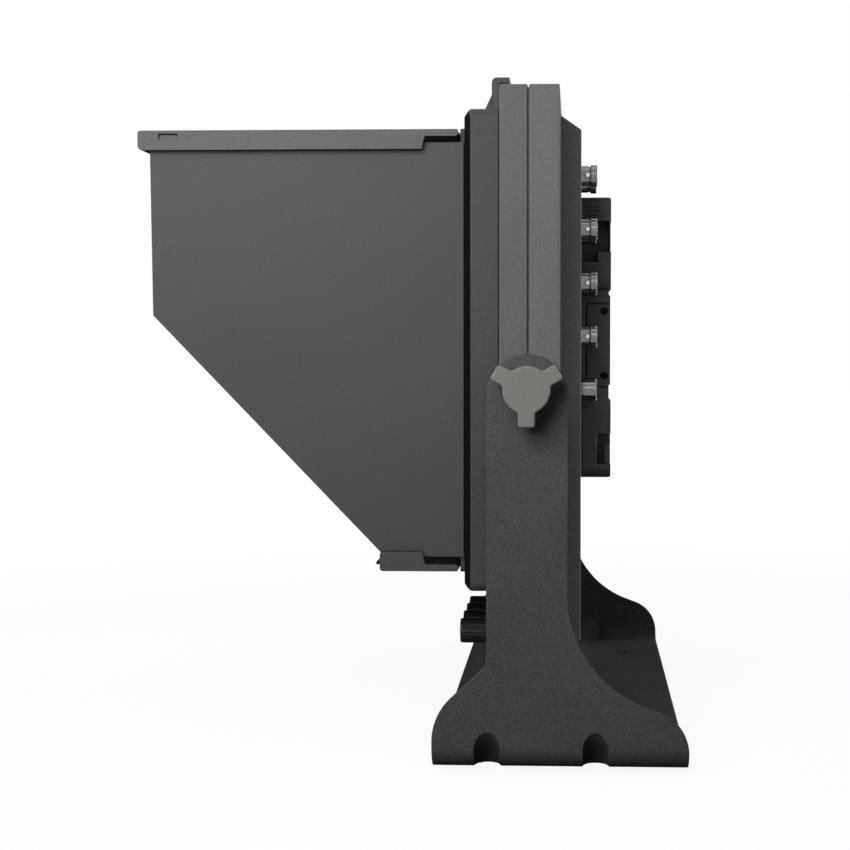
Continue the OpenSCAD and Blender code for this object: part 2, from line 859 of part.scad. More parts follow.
module power_key() {
    color("#202021") {
        bar_y(power_key_d, case_front - key_proud, inner_front + gap * 2, power_key_x, control_row);
        bar_y(power_key_d + 2 * key_flange, inner_front + gap, inner_front + gap + key_flange_t,
            power_key_x, control_row);
    }
}

// Recessed connector panels, each a tray seated on the inside of the hump
module tray(r) {
    difference() {
        recess_block(r, panel_rim, panel_back, hump_inner);
        recess_block(r, 0, panel_face, hump_inner + over);
    }
}

coax_places = [for (j = [0:coax_rows - 1], i = [0, 1])
    [coax_x - i * coax_column, coax_top_z - j * coax_pitch]];
jack_places = [for (p = coax_places) if (p[0] < coax_x || p[1] > coax_low_z + over) p];
aux_place = [coax_x, coax_low_z];

module connector_panel() {
    color("#303031") difference() {
        tray(recesses[0]);
        for (p = jack_places)
            bar_y(coax_neck_d + 2 * fit, panel_back - over, panel_face + over, p[0], p[1]);
        bar_y(coax_d + 2 * fit, panel_back - over, panel_face + over, aux_place[0], aux_place[1]);
    }
}

module bnc_jack(p) {
    tip = panel_face + coax_len;
    difference() {
        union() {
            translate([p[0], 0, p[1]]) box([-coax_body_w / 2, board_back, -coax_body_w / 2],
                [coax_body_w / 2, panel_back, coax_body_w / 2]);
            bar_y(coax_neck_d, panel_back - fit, tip - coax_collar_len + fit, p[0], p[1]);
            bar_y(coax_d, tip - coax_collar_len, tip, p[0], p[1]);
            bar_x(lug_d, p[0] - coax_d / 2 - lug_proud, p[0] + coax_d / 2 + lug_proud,
                tip - lug_set, p[1]);
        }
        bar_y(coax_bore_d, tip - coax_bore_len, tip + over, p[0], p[1]);
    }
    difference() {
        bar_y(coax_core_d, tip - coax_bore_len - fit, tip - coax_core_set, p[0], p[1]);
        bar_y(coax_pin_d, tip - coax_bore_len / 2, tip, p[0], p[1]);
    }
}

module bnc_jacks() {
    color("#b9bbbd") for (p = jack_places) bnc_jack(p);
}

module bnc_nuts() {
    color("#c6c8ca") for (p = jack_places) difference() {
        translate([p[0], panel_face + nut_t, p[1]]) rotate([90, 0, 0])
            cylinder(d = nut_w, h = nut_t, $fn = 6);
        bar_y(coax_neck_d + 2 * fit, panel_face - over, panel_face + nut_t + over, p[0], p[1]);
    }
}

module aux_socket() {
    tip = panel_face + coax_len;
    color("#bcbec0") difference() {
        union() {
            bar_y(coax_d, panel_back - fit, tip, aux_place[0], aux_place[1]);
            translate([aux_place[0], 0, aux_place[1]]) box([-coax_body_w / 2, board_back, -coax_body_w / 2],
                [coax_body_w / 2, panel_back, coax_body_w / 2]);
        }
        bar_y(coax_core_d, tip - coax_bore_len, tip + over, aux_place[0], aux_place[1]);
    }
}

// Small ports on the other panel: width, height and place as shares of the panel's height
port_x = -coax_mid_x;
hdmi_size = [15, 5.6];
usb_size = [13.2, 5.8];
lan_size = [16, 13.6];
lan_mouth = [11.8, 8.4];
audio_d = 8;
audio_bore_d = 3.6;
hdmi_shares = [0.38, 0.25];
usb_share = 0.11;
lan_share = -0.07;
audio_shares = [-0.26, -0.38];
port_wall = 0.5;
port_deep = 11;

function port_z(share) = recess_mid_z + share * recess_h;

module port_block(size, z, grow, y0, y1) {
    translate([port_x, 0, z])
        box([-size[0] / 2 - grow, y0, -size[1] / 2 - grow],
            [size[0] / 2 + grow, y1, size[1] / 2 + grow]);
}

module port_shell(size, z) {
    face = panel_face + port_proud;
    difference() {
        port_block(size, z, 0, board_back, face);
        port_block(size, z, -port_wall, face - port_deep, face + over);
    }
    port_block([size[0] * 3 / 4, size[1] / 4], z, 0, face - port_deep - fit, face - port_proud);
}

module io_panel() {
    color("#303031") difference() {
        tray(recesses[1]);
        for (s = hdmi_shares) port_block(hdmi_size, port_z(s), fit, panel_back - over, panel_face + over);
        port_block(usb_size, port_z(usb_share), fit, panel_back - over, panel_face + over);
        port_block(lan_size, port_z(lan_share), fit, panel_back - over, panel_face + over);
        for (s = audio_shares)
            bar_y(audio_d + 2 * fit, panel_back - over, panel_face + over, port_x, port_z(s));
    }
}

module hdmi_ports() {
    color("#8f9193") for (s = hdmi_shares) port_shell(hdmi_size, port_z(s));
}

module usb_port() {
    color("#8f9193") port_shell(usb_size, port_z(usb_share));
}

module lan_port() {
    face = panel_face + port_proud;
    color("#8f9193") difference() {
        port_block(lan_size, port_z(lan_share), 0, board_back, face);
        port_block(lan_mouth, port_z(lan_share), 0, face - port_deep, face + over);
        port_block([lan_mouth[0] / 2, lan_mouth[1] / 3], port_z(lan_share) - lan_mouth[1] / 2, 0,
            face - port_deep, face + over);
    }
}

module audio_jacks() {
    color("#1d1d1e") for (s = audio_shares) difference() {
        bar_y(audio_d, board_back, panel_face + port_proud, port_x, port_z(s));
        bar_y(audio_bore_d, panel_face - port_deep, panel_face + port_proud + over, port_x, port_z(s));
    }
}

// Power entry: a round four-pin socket and a rocker switch
switch_set = 16;
switch_step = 29;
switch_x = -power_x - switch_set;
socket_x = switch_x + switch_step;
socket_w = 24;
socket_d = 19;
socket_bore_d = 16.5;
socket_flange_t = 1.4;
socket_pin_d = 2;
socket_pin_ring = 8;
socket_screw_r = 12.7;
rocker_w = 10;
rocker_h = 15;
rocker_tilt = 8;
rocker_axle_d = 2.4;
rocker_axle_set = 2.8;
rocker_axle_len = 12.4;
rocker_rise = 0.9;
bezel_w = 14;
bezel_h = 20;
bezel_edge = 1.2;
bezel_t = 1.2;
rocker_y = panel_face - rocker_axle_set;

module power_panel() {
    color("#303031") difference() {
        tray(recesses[2]);
        bar_y(socket_d + 2 * fit, panel_back - over, panel_face + over, socket_x, power_z);
        translate([switch_x, 0, power_z]) box([-bezel_w / 2 - fit, panel_back - over, -bezel_h / 2 - fit],
            [bezel_w / 2 + fit, panel_face + over, bezel_h / 2 + fit]);
    }
}

module dc_in_socket() {
    face = panel_face + socket_flange_t;
    color("#242425") {
        difference() {
            union() {
                bar_y(socket_d, board_back, panel_face + fit, socket_x, power_z);
                translate([socket_x, 0, power_z]) plate_y(panel_face, face)
                    round_rect(socket_w, -socket_w / 2, socket_w / 2, case_r);
            }
            bar_y(socket_bore_d, face - port_deep, face + over, socket_x, power_z);
            for (a = [45:90:315]) bar_y(screw_d, panel_face, face + over,
                socket_x + socket_screw_r * cos(a), power_z + socket_screw_r * sin(a));
        }
        for (a = [45:90:315]) bar_y(socket_pin_d, face - port_deep - fit, face - port_proud * 2,
            socket_x + socket_pin_ring / 2 * cos(a), power_z + socket_pin_ring / 2 * sin(a));
    }
}

module switch_bezel() {
    color("#1d1d1e") difference() {
        union() {
            translate([switch_x, 0, power_z]) box([-bezel_w / 2, board_back, -bezel_h / 2],
                [bezel_w / 2, panel_face + fit, bezel_h / 2]);
            translate([switch_x, 0, power_z]) plate_y(panel_face, panel_face + bezel_t)
                round_rect(bezel_w + 2 * bezel_edge, -bezel_h / 2 - bezel_edge,
                    bezel_h / 2 + bezel_edge, over);
        }
        translate([switch_x, 0, power_z])
            box([-rocker_w / 2 - gap, rocker_y - rocker_h / 4, -rocker_h / 2 - over],
                [rocker_w / 2 + gap, panel_face + bezel_t + over, rocker_h / 2 + over]);
        bar_x(rocker_axle_d + 2 * running, switch_x - bezel_w / 2 + fit, switch_x + bezel_w / 2 - fit,
            rocker_y, power_z);
    }
}

module power_rocker() {
    face = rocker_axle_set + rocker_rise;
    color("#141414") translate([switch_x, rocker_y, power_z]) rotate([-rocker_tilt, 0, 0]) {
        plate_x(-rocker_w / 2, rocker_w / 2) polygon([[0, -rocker_h / 2 + rocker_rise],
            [face + tan(rocker_tilt) * rocker_h / 2, -rocker_h / 2], [face, 0],
            [face + tan(rocker_tilt) * rocker_h / 2, rocker_h / 2], [0, rocker_h / 2 - rocker_rise]]);
        bar_x(rocker_axle_d, -rocker_axle_len / 2, rocker_axle_len / 2, 0, 0);
    }
}

// Battery plate: stepped body, undercut wedge channel, open pockets in both flanks
step_shares = [0.28, 0.333, 0.653, 0.672, 0.807, 0.916];
step_set = 0.9;
flank_set = 3;
flank_shares = [0.251, 0.284, 0.671, 0.723];
flank_r = 5.5;
pocket_w = 12;
pocket_low_share = 0.771;
pocket_set = 1;
pocket_low_set = 6.2;
groove_w = 0.5;
groove_shares = [0.327, 0.625];
groove_h = 1;
grip_pitch = 2;
grip_low_share = 0.93;
grip_y = [1.4, 7.8];
flank_hole_d = 3.4;
flank_hole_set = 3.2;
flank_hole_shares = [0.365, 0.597];
button_low_share = 0.05;
button_window_h = 14;
button_window_d = 6.3;
contact_w = 26;
contact_h = 10;
contact_t = 3;
blade_w = 0.8;
blade_h = 7;
blade_pitch = 5;

function plate_z(share) = plate_bottom + share * plate_h;

module plate_profile() {
    y1 = plate_back;
    y0 = plate_back - step_set;
    mid = plate_back - step_set / 4;
    polygon(concat(
        [[hump_rear, plate_bottom]],
        arc([y1 - plate_r, plate_bottom + plate_r], plate_r, -90, 0, 5),
        [[y1, plate_z(step_shares[0])], [y0, plate_z(step_shares[0])],
         [y0, plate_z(step_shares[1])], [mid, plate_z(step_shares[1])],
         [mid, plate_z(step_shares[2])], [y0, plate_z(step_shares[2])],
         [y0, plate_z(step_shares[3])], [y1, plate_z(step_shares[3])],
         [y1, plate_z(step_shares[4])], [mid, plate_z(step_shares[4])],
         [mid, plate_z(step_shares[5])], [y1, plate_z(step_shares[5])]],
        arc([y1 - plate_r, plate_top - plate_r], plate_r, 0, 90, 5),
        [[hump_rear, plate_top]]));
}

// Seen from the rear: waisted flanks with a sloping ledge below and a round shoulder above
module plate_front() {
    waist = plate_w / 2 - flank_set;
    shoulder = plate_z(flank_shares[3]) - plate_z(flank_shares[2]);
    for (s = [0, 1]) mirror([s, 0]) polygon(concat(
        [[0, plate_bottom]],
        arc([plate_w / 2 - flank_r, plate_bottom + flank_r], flank_r, -90, 0, 6),
        [[plate_w / 2, plate_z(flank_shares[0])], [waist, plate_z(flank_shares[1])]],
        [for (a = [0:15:90]) [waist + flank_set * sin(a), plate_z(flank_shares[3]) - shoulder * cos(a)]],
        [[plate_w / 2, plate_top], [0, plate_top]]));
}

module wedge_cut(half_top, y0, y1) {
    low = plate_bottom + channel_floor_rise;
    plate_y(y0, y1) polygon([[-half_top, plate_top + over], [half_top, plate_top + over],
        [half_top - wedge_drop, low], [wedge_drop - half_top, low]]);
}

module plate_flank() {
    x0 = plate_w / 2 - pocket_w;
    x1 = plate_w / 2 + over;
    grip_x = plate_w / 2 - groove_w;
    groove_x = grip_x - flank_set;
    box([x0, hump_rear - over, plate_z(step_shares[4])],
        [x1, plate_back - pocket_set, plate_z(step_shares[5])]);
    box([x0, hump_rear - over, plate_z(pocket_low_share)],
        [x1, plate_back - pocket_low_set, plate_z(step_shares[4]) + fit]);
    for (i = [0:2]) translate([0, 0, plate_z(grip_low_share) + i * grip_pitch])
        box([grip_x, hump_rear + grip_y[0], 0], [x1, hump_rear + grip_y[1], groove_h]);
    for (s = groove_shares) translate([0, 0, plate_z(s)])
        box([groove_x, hump_rear + plate_base_t - groove_w, -groove_w], [x1, plate_back + over, 0]);
    box([groove_x, hump_rear + plate_base_t - groove_w, plate_z(groove_shares[0]) - groove_w],
        [x1, hump_rear + plate_base_t, plate_z(groove_shares[1])]);
    for (s = flank_hole_shares)
        bar_x(flank_hole_d, x0 + pocket_w / 2, x1, plate_back - flank_hole_set, plate_z(s));
}

module release_window() {
    box([plate_w / 2 - pocket_w - over, plate_back - button_window_d, plate_z(button_low_share)],
        [plate_w / 2 + over, plate_back + over, plate_z(button_low_share) + button_window_h]);
}

button_mid_z = plate_z(button_low_share) + gap + button_h / 2;
button_mid_y = plate_back - gap - button_t / 2;
stem_d = 1.8;
stem_len = 9;

module v_mount_plate() {
    color("#2b2b2c") difference() {
        intersection() {
            plate_x(-plate_w / 2, plate_w / 2) plate_profile();
            plate_y(hump_rear, plate_back) plate_front();
        }
        wedge_cut(wedge_w / 2, plate_back - lip_t - fit, plate_back + over);
        wedge_cut(wedge_w / 2 + wedge_under, plate_back - channel_d, plate_back - lip_t);
        both_sides() plate_flank();
        release_window();
        bar_x(stem_d + 2 * fit, plate_w / 2 - pocket_w - stem_len, plate_w / 2 - pocket_w,
            button_mid_y, button_mid_z);
        for (x = [-plate_screw_x, plate_screw_x], z = plate_screw_z) {
            bar_y(screw_d + 2 * fit, hump_rear - over, plate_back + over, x, z);
            bar_y(screw_head_d + 2 * fit, plate_back - plate_base_t * 2, plate_back + over, x, z);
        }
    }
}

module v_mount_screws() {
    color("#6d6f71") for (x = [-plate_screw_x, plate_screw_x], z = plate_screw_z) {
        bar_y(screw_d, hump_inner - over, plate_back - plate_base_t * 2 + fit, x, z);
        bar_y(screw_head_d, plate_back - plate_base_t * 2,
            plate_back - plate_base_t * 2 + screw_head_t, x, z);
    }
}

module v_mount_contacts() {
    low = plate_bottom + channel_floor_rise;
    floor_y = plate_back - channel_d;
    color("#c2a35a") {
        box([-contact_w / 2, floor_y, low], [contact_w / 2, floor_y + contact_t, low + contact_h]);
        for (i = [-2:2]) translate([i * blade_pitch, 0, low + contact_h - fit])
            box([-blade_w / 2, floor_y + contact_t / 4, 0],
                [blade_w / 2, floor_y + contact_t * 3 / 4, blade_h]);
    }
}

module v_mount_release() {
    x1 = plate_w / 2 + gap;
    color("#3a3a3b") {
        box([x1 - button_len, button_mid_y - button_t / 2, button_mid_z - button_h / 2],
            [x1, button_mid_y + button_t / 2, button_mid_z + button_h / 2]);
        bar_x(stem_d, plate_w / 2 - pocket_w - stem_len + button_travel + over, x1 - button_len + fit,
            button_mid_y, button_mid_z);
    }
}

// Sun hood: a frame hung over the case, a hinge ring on it and four folding panels
hood_axis_y = ring_front - hinge_gap - flap_t / 2;
hood_axis_rise = ring_h / 2 - flap_set - flap_t / 2;
flap_half = ring_w / 2 + flap_over;
flap_rise = hood_axis_rise - flap_t / 2;
side_axis_x = ring_w / 2 - side_set - barrel_side_r;
side_axis_y = ring_front - hinge_gap - barrel_side_r;
side_out = ring_w / 2 + gap + side_t;
side_rise = flap_rise - side_gap;
side_low = side_low_gap - flap_rise;
frame_top = screen_z + frame_h / 2;
hook_front = frame_rear - hook_strip_t;
hook_rear = frame_rear + hook_reach;
hook_top = case_top + hook_pad_t + hook_t;

module framed(w, h, r, y0, y1) {
    translate([0, 0, screen_z]) plate_y(y0, y1) round_rect(w, -h / 2, h / 2, r);
}

// The frame's front edges are chamfered all round
module frame_form() {
    edge = frame_front + frame_chamfer_d;
    intersection() {
        framed(frame_w, frame_h, frame_r, frame_front, frame_rear);
        plate_x(-frame_w / 2, frame_w / 2) translate([0, screen_z]) polygon([
            [frame_rear, -frame_h / 2], [edge, -frame_h / 2], [frame_front, frame_chamfer_w - frame_h / 2],
            [frame_front, frame_h / 2 - frame_chamfer_w], [edge, frame_h / 2], [frame_rear, frame_h / 2]]);
        translate([0, 0, screen_z - frame_h / 2]) linear_extrude(frame_h) polygon([
            [-frame_w / 2, frame_rear], [-frame_w / 2, edge], [frame_chamfer_w - frame_w / 2, frame_front],
            [frame_w / 2 - frame_chamfer_w, frame_front], [frame_w / 2, edge], [frame_w / 2, frame_rear]]);
    }
}

module hook() {
    plate_x(hook_mid_x - hook_w / 2, hook_mid_x + hook_w / 2) polygon(concat(
        [[hook_front, frame_top - frame_wall], [frame_rear, frame_top - frame_wall],
         [frame_rear, hook_top - hook_t], [hook_rear, hook_top - hook_t], [hook_rear, hook_top]],
        arc([hook_front + hook_r, hook_top - hook_r], hook_r, 90, 180, 6)));
    plate_x(hook_mid_x - gusset_t / 2, hook_mid_x + gusset_t / 2) polygon([
        [hook_front - gusset_d, frame_top - fit], [hook_front + fit, frame_top - fit],
        [hook_front + fit, frame_top + gusset_h], [hook_front, frame_top + gusset_h]]);
}

module hood_frame() {
    cavity_front = frame_front + frame_chamfer_d + frame_wall;
    color("#2e2e2f") {
        difference() {
            frame_form();
            framed(window_w, window_h, case_r / 2, frame_front - over, frame_rear + over);
            difference() {
                framed(frame_w - 2 * frame_wall, frame_h - 2 * frame_wall, frame_r - frame_wall,
                    cavity_front, frame_rear + over);
                framed(window_w + 2 * frame_wall, window_h + 2 * frame_wall, case_r,
                    cavity_front - over, frame_rear + 2 * over);
                for (x = [-hook_mid_x, 0, hook_mid_x]) translate([x, 0, screen_z])
                    box([-hook_w / 2, cavity_front - over, -frame_h],
                        [hook_w / 2, frame_rear + 2 * over, frame_h]);
            }
        }
        both_sides() hook();
    }
}

module hood_hook_pads() {
    color("#151515") both_sides() box([hook_mid_x - hook_w / 2, frame_rear + 2 * gap, case_top + gap],
        [hook_mid_x + hook_w / 2, hook_rear, case_top + hook_pad_t]);
}

// Knuckles of the top and bottom hinges, then of the side hinges
module knuckle_cross(x) {
    bar_x(flap_t, x - knuckle_w / 2, x + knuckle_w / 2, hood_axis_y, hood_axis_rise);
    box([x - knuckle_w / 2, hood_axis_y, hood_axis_rise - flap_t / 2],
        [x + knuckle_w / 2, ring_front + fit, hood_axis_rise + flap_t / 2]);
}

module knuckle_up(z) {
    bar_z(2 * barrel_side_r, z - knuckle_w / 2, z + knuckle_w / 2, side_axis_x, side_axis_y);
    box([side_axis_x - barrel_side_r, side_axis_y, z - knuckle_w / 2],
        [side_axis_x + barrel_side_r, ring_front + fit, z + knuckle_w / 2]);
}

module pin_cross(d, end) {
    bar_x(d, -knuckle_x - pin_end - end, knuckle_x + pin_end + end, hood_axis_y, hood_axis_rise);
}

module pin_up(d, end) {
    bar_z(d, -knuckle_z - pin_end - end, knuckle_z + pin_end + end, side_axis_x, side_axis_y);
}

module hood_hinge_ring() {
    color("#2e2e2f") difference() {
        union() {
            difference() {
                framed(ring_w, ring_h, flap_t / 2, ring_front, frame_front);
                framed(window_w, window_h, case_r / 2, ring_front - over, frame_front + over);
            }
            translate([0, 0, screen_z]) {
                for (s = [0, 1]) mirror([0, 0, s]) for (x = [-knuckle_x, knuckle_x]) knuckle_cross(x);
                both_sides() for (z = [-knuckle_z, knuckle_z]) knuckle_up(z);
            }
        }
        translate([0, 0, screen_z]) {
            for (s = [0, 1]) mirror([0, 0, s]) pin_cross(pin_d + 2 * running, over);
            both_sides() pin_up(pin_d + 2 * running, over);
        }
    }
}

module hood_hinge_pins() {
    color("#8b8d90") translate([0, 0, screen_z]) {
        for (s = [0, 1]) mirror([0, 0, s]) pin_cross(pin_d, 0);
        both_sides() pin_up(pin_d, 0);
    }
}

// A flap as it lies on top, measured from the middle of the screen
module flap(reach, front_lip, corner, step) {
    front = ring_front - reach;
    lip_rear = ring_front - lip_set;
    top = flap_rise + flap_t;
    low = flap_rise - lip_h;
    corner_arc = [for (a = [0:step:90]) [front + corner[0] * (1 - sin(a)), low + corner[1] * (1 - cos(a))]];
    difference() {
        union() {
            bar_x(flap_t, -flap_half, flap_half, hood_axis_y, hood_axis_rise);
            plate_x(-flap_half, flap_half) polygon(concat([[hood_axis_y, flap_rise],
                [hood_axis_y + flap_heel, flap_rise + flap_t / 2], [hood_axis_y + flap_heel, top]],
                arc([front + lip_r, top - lip_r], lip_r, 90, 180, 5), [[front, flap_rise]]));
            if (front_lip) plate_x(-flap_half, flap_half) intersection() {
                polygon(concat([[lip_rear, flap_rise + fit], [lip_rear, low]], corner_arc,
                    [[front, flap_rise + fit]]));
                translate([front, low]) square([lip_t_side, lip_h + fit]);
            }
            both_sides() plate_x(flap_half - lip_t_side, flap_half) polygon(concat([
                [lip_rear, flap_rise + fit], [lip_rear - lip_r, low]], corner_arc,
                [[front, flap_rise + fit]]));
        }
        for (x = [-knuckle_x, knuckle_x])
            box([x - knuckle_w / 2 - gap, hood_axis_y - flap_t / 2 - gap, flap_rise - over],
                [x + knuckle_w / 2 + gap, hood_axis_y + flap_t, top + over]);
        pin_cross(pin_d + 2 * running, over);
    }
}

module hood_top() {
    front = ring_front - top_reach;
    color("#333334") translate([0, 0, screen_z]) difference() {
        flap(top_reach, true, lip_corner, 45);
        both_sides() box([flap_half - latch_deep, front + latch_set, flap_rise - latch_drop],
            [flap_half + over, front + latch_set + latch_len, flap_rise - latch_drop + latch_h]);
    }
}

module hood_bottom() {
    color("#333334") translate([0, 0, screen_z]) mirror([0, 0, 1])
        flap(bottom_reach, false, toe_corner, 18);
}

// Rubber stops that sit on the bottom panel and hang over its front edge
module hood_bumpers() {
    front = ring_front - bottom_reach;
    seat = screen_z - flap_rise;
    low = seat - bumper_low;
    x = flap_half - bumper_set;
    color("#141414") both_sides() plate_x(x, x + bumper_w) polygon([[front - bumper_d, low], [front, low],
        [front, seat], [front + bumper_seat, seat], [front + bumper_seat, low + bumper_h],
        [front, low + bumper_h], [front - bumper_d, low + bumper_nose_h]]);
}

module side_panel() {
    front = ring_front - side_reach;
    rear = frame_front - gap;
    color("#333334") translate([0, 0, screen_z]) {
        plate_x(side_out - side_t, side_out) polygon(concat(
            [[rear, side_low], [rear, side_rise]],
            arc([front + toe_w, side_rise - toe_w], toe_w, 90, 180, 5),
            [[front + front_lean, side_rise - front_edge_h],
             [ring_front - toe_set, side_low + toe_h], [ring_front - toe_set + toe_w, side_low]]));
        difference() {
            union() {
                bar_z(2 * barrel_side_r, side_low, side_rise, side_axis_x, side_axis_y);
                box([side_axis_x, side_axis_y - barrel_side_r, side_low],
                    [side_out - side_t + fit, side_axis_y + barrel_side_r, side_rise]);
            }
            for (z = [-knuckle_z, knuckle_z]) translate([side_axis_x, side_axis_y, z])
                box([-2 * barrel_side_r, -barrel_side_r - gap, -knuckle_w / 2 - gap],
                    [2 * barrel_side_r, barrel_side_r + gap, knuckle_w / 2 + gap]);
            pin_up(pin_d + 2 * running, over);
        }
    }
}

module hood_side_right() {
    side_panel();
}

module hood_side_left() {
    mirror([1, 0, 0]) side_panel();
}

stand_bracket();
tripod_insert();
foot_pads();
clamp_washers();
tilt_knob_right();
tilt_knob_left();
case_front_shell();
case_rear_shell();
screen_glass();
lcd_panel();
chassis_plate();
main_board();
power_board();
board_standoffs();
heat_sink();
key_board();
encoder_board();
knob_encoders();
speaker();
pivot_inserts();
pivot_washers();
case_screws();
connector_panel();
io_panel();
power_panel();
bnc_jacks();
bnc_nuts();
aux_socket();
hdmi_ports();
usb_port();
lan_port();
audio_jacks();
dc_in_socket();
switch_bezel();
power_rocker();
v_mount_plate();
v_mount_contacts();
v_mount_screws();
v_mount_release();
status_led();
picture_knob(0);  // picture_knob_1
picture_knob(1);  // picture_knob_2
picture_knob(2);  // picture_knob_3
picture_knob(3);  // picture_knob_4
function_key(0);  // function_key_1
function_key(1);  // function_key_2
function_key(2);  // function_key_3
function_key(3);  // function_key_4
function_key(4);  // function_key_5
power_key();
hood_frame();
hood_hinge_ring();
hood_hinge_pins();
hood_hook_pads();
hood_top();
hood_bottom();
hood_side_left();
hood_side_right();
hood_bumpers();
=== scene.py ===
import json
import math

import bmesh
import bpy
import numpy as np
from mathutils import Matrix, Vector


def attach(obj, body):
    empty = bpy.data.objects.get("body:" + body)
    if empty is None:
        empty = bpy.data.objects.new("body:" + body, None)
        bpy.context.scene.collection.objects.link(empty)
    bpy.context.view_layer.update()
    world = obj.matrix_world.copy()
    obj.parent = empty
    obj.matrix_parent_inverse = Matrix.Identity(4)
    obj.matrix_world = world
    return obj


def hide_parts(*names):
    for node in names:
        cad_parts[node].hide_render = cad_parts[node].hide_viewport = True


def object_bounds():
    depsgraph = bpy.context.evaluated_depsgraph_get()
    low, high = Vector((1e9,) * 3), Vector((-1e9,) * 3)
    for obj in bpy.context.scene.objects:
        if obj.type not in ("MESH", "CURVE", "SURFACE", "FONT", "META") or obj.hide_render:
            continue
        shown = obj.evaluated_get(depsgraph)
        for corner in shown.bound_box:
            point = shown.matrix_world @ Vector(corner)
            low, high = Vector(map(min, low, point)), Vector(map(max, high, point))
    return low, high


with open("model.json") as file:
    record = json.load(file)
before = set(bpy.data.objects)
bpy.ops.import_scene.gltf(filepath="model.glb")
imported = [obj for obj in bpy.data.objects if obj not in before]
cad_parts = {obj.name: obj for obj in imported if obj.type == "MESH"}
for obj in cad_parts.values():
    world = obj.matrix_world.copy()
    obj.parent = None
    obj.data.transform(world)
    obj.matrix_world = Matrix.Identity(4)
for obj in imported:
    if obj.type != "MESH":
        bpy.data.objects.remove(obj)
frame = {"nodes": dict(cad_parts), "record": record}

nodes = frame["nodes"]
cadLow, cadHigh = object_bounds()
bodyOf = {node: body for body, members in frame["record"]["behaviour"]["bodies"].items() for node in members}
print("frame loaded:", len(nodes), "nodes")

mmPerMetre = 1000
# Points nearer to each other than this are one point, and shorter edges than this go, in metres
mergeReach, shortestEdge = 1e-6, 1e-7


def newObject(name, data):
    # a new object of this data, linked into the scene
    thing = bpy.data.objects.new(name, data)
    bpy.context.scene.collection.objects.link(thing)
    return thing


def lookAlong(thing, direction):
    # turns a camera or a lamp so that it looks along a direction
    thing.rotation_mode = "QUATERNION"
    thing.rotation_quaternion = direction.to_track_quat("-Z", "Y")


# The photograph's camera, fitted to the object: places in millimetres, turns in degrees, lens in pixels
cameraFit = {"place": (932.36, 6.69, 172.29), "turn": 2.7186, "pitch": 2.402,
             "lensPixels": 1900, "centreX": 487, "imageSize": 850, "sensor": 36.0}


def makeCamera(fit):
    data = bpy.data.cameras.new("photoCamera")
    data.sensor_width = fit["sensor"]
    data.lens = fit["sensor"] * fit["lensPixels"] / fit["imageSize"]
    data.shift_x = (fit["imageSize"] / 2 - fit["centreX"]) / fit["imageSize"]
    turn, pitch = math.radians(fit["turn"]), math.radians(fit["pitch"])
    camera = newObject("photoCamera", data)
    camera.location = Vector(fit["place"]) / mmPerMetre
    lookAlong(camera, Vector((-math.cos(turn) * math.cos(pitch), -math.sin(turn) * math.cos(pitch),
                              -math.sin(pitch))))
    bpy.context.scene.camera = camera


makeCamera(cameraFit)
print("camera placed")


def toLinear(hexColour):
    # sRGB hex to the linear colour that a shader takes
    channels = [int(hexColour[i:i + 2], 16) / 255 for i in (1, 3, 5)]
    return [c / 12.92 if c <= 0.04045 else ((c + 0.055) / 1.055) ** 2.4 for c in channels] + [1.0]


def emptyMaterial(name):
    # a new material and its node tree, with no node in it
    material = bpy.data.materials.new(name)
    material.use_nodes = True
    material.node_tree.nodes.clear()
    return material, material.node_tree


def addNode(tree, kind, settings=None, links=None):
    # a node with its settings: inputs by name or number, plain properties, ramp stops, and links into it
    node = tree.nodes.new(kind)
    for name, value in (settings or {}).items():
        if name == "stops":
            while len(node.color_ramp.elements) < len(value):
                node.color_ramp.elements.new(1.0)
            for element, (position, colour) in zip(node.color_ramp.elements, value):
                element.position = position
                element.color = colour
        elif isinstance(name, int) or name in node.inputs:
            node.inputs[name].default_value = value
        else:
            setattr(node, name, value)
    for name, socket in (links or {}).items():
        tree.links.new(socket, node.inputs[name])
    return node


def perMillimetre(size):
    # the scale that gives a pattern of this size in millimetres, on coordinates in metres
    return mmPerMetre / size


def mixColour(tree, share, colour, hexColour):
    # from a colour socket towards one colour by a share
    mixed = addNode(tree, "ShaderNodeMix", {"data_type": "RGBA", 7: toLinear(hexColour)}, {0: share, 6: colour})
    return mixed.outputs[2]


# What all finishes share: how much of the grain and of the wider cloud (mm) shades them, the ends of the
# colour ramp and the swing of the roughness; then the steps of the painted recess shade, the worn edges and the
# inner side
shading = {"grainDetail": 3.0, "grainRoughness": 0.65, "grainShare": 0.8,
           "cloud": 45, "cloudDetail": 2.0, "cloudShare": 0.2,
           "rampStart": 0.36, "rampEnd": 0.64, "roughnessSwing": 0.06, "specular": 0.3,
           "paintedShadeSamples": 8, "paintedShadeFrom": 0.9, "paintedShadeFull": 0.35, "paintedShadeColour": "#070707",
           "wornSamples": 4, "wornFrom": 0.995, "wornFull": 0.9, "wornShare": 0.8,
           "insideFrom": 0.5, "insideRoughness": 0.85, "insideSpecular": -0.25}


def paintShadeInRecesses(tree, spec, colour):
    # painted shade: where other faces of the same node stand within the reach, the colour goes towards black
    opened = addNode(tree, "ShaderNodeAmbientOcclusion",
                     {"samples": shading["paintedShadeSamples"], "only_local": True,
                      "Distance": spec["paintedShadeReach"] / mmPerMetre})
    deep = addNode(tree, "ShaderNodeMapRange",
                   {"From Min": shading["paintedShadeFrom"], "From Max": shading["paintedShadeFull"],
                    "To Max": spec["paintedShadeShare"]}, {"Value": opened.outputs["AO"]})
    return mixColour(tree, deep.outputs["Result"], colour, shading["paintedShadeColour"])


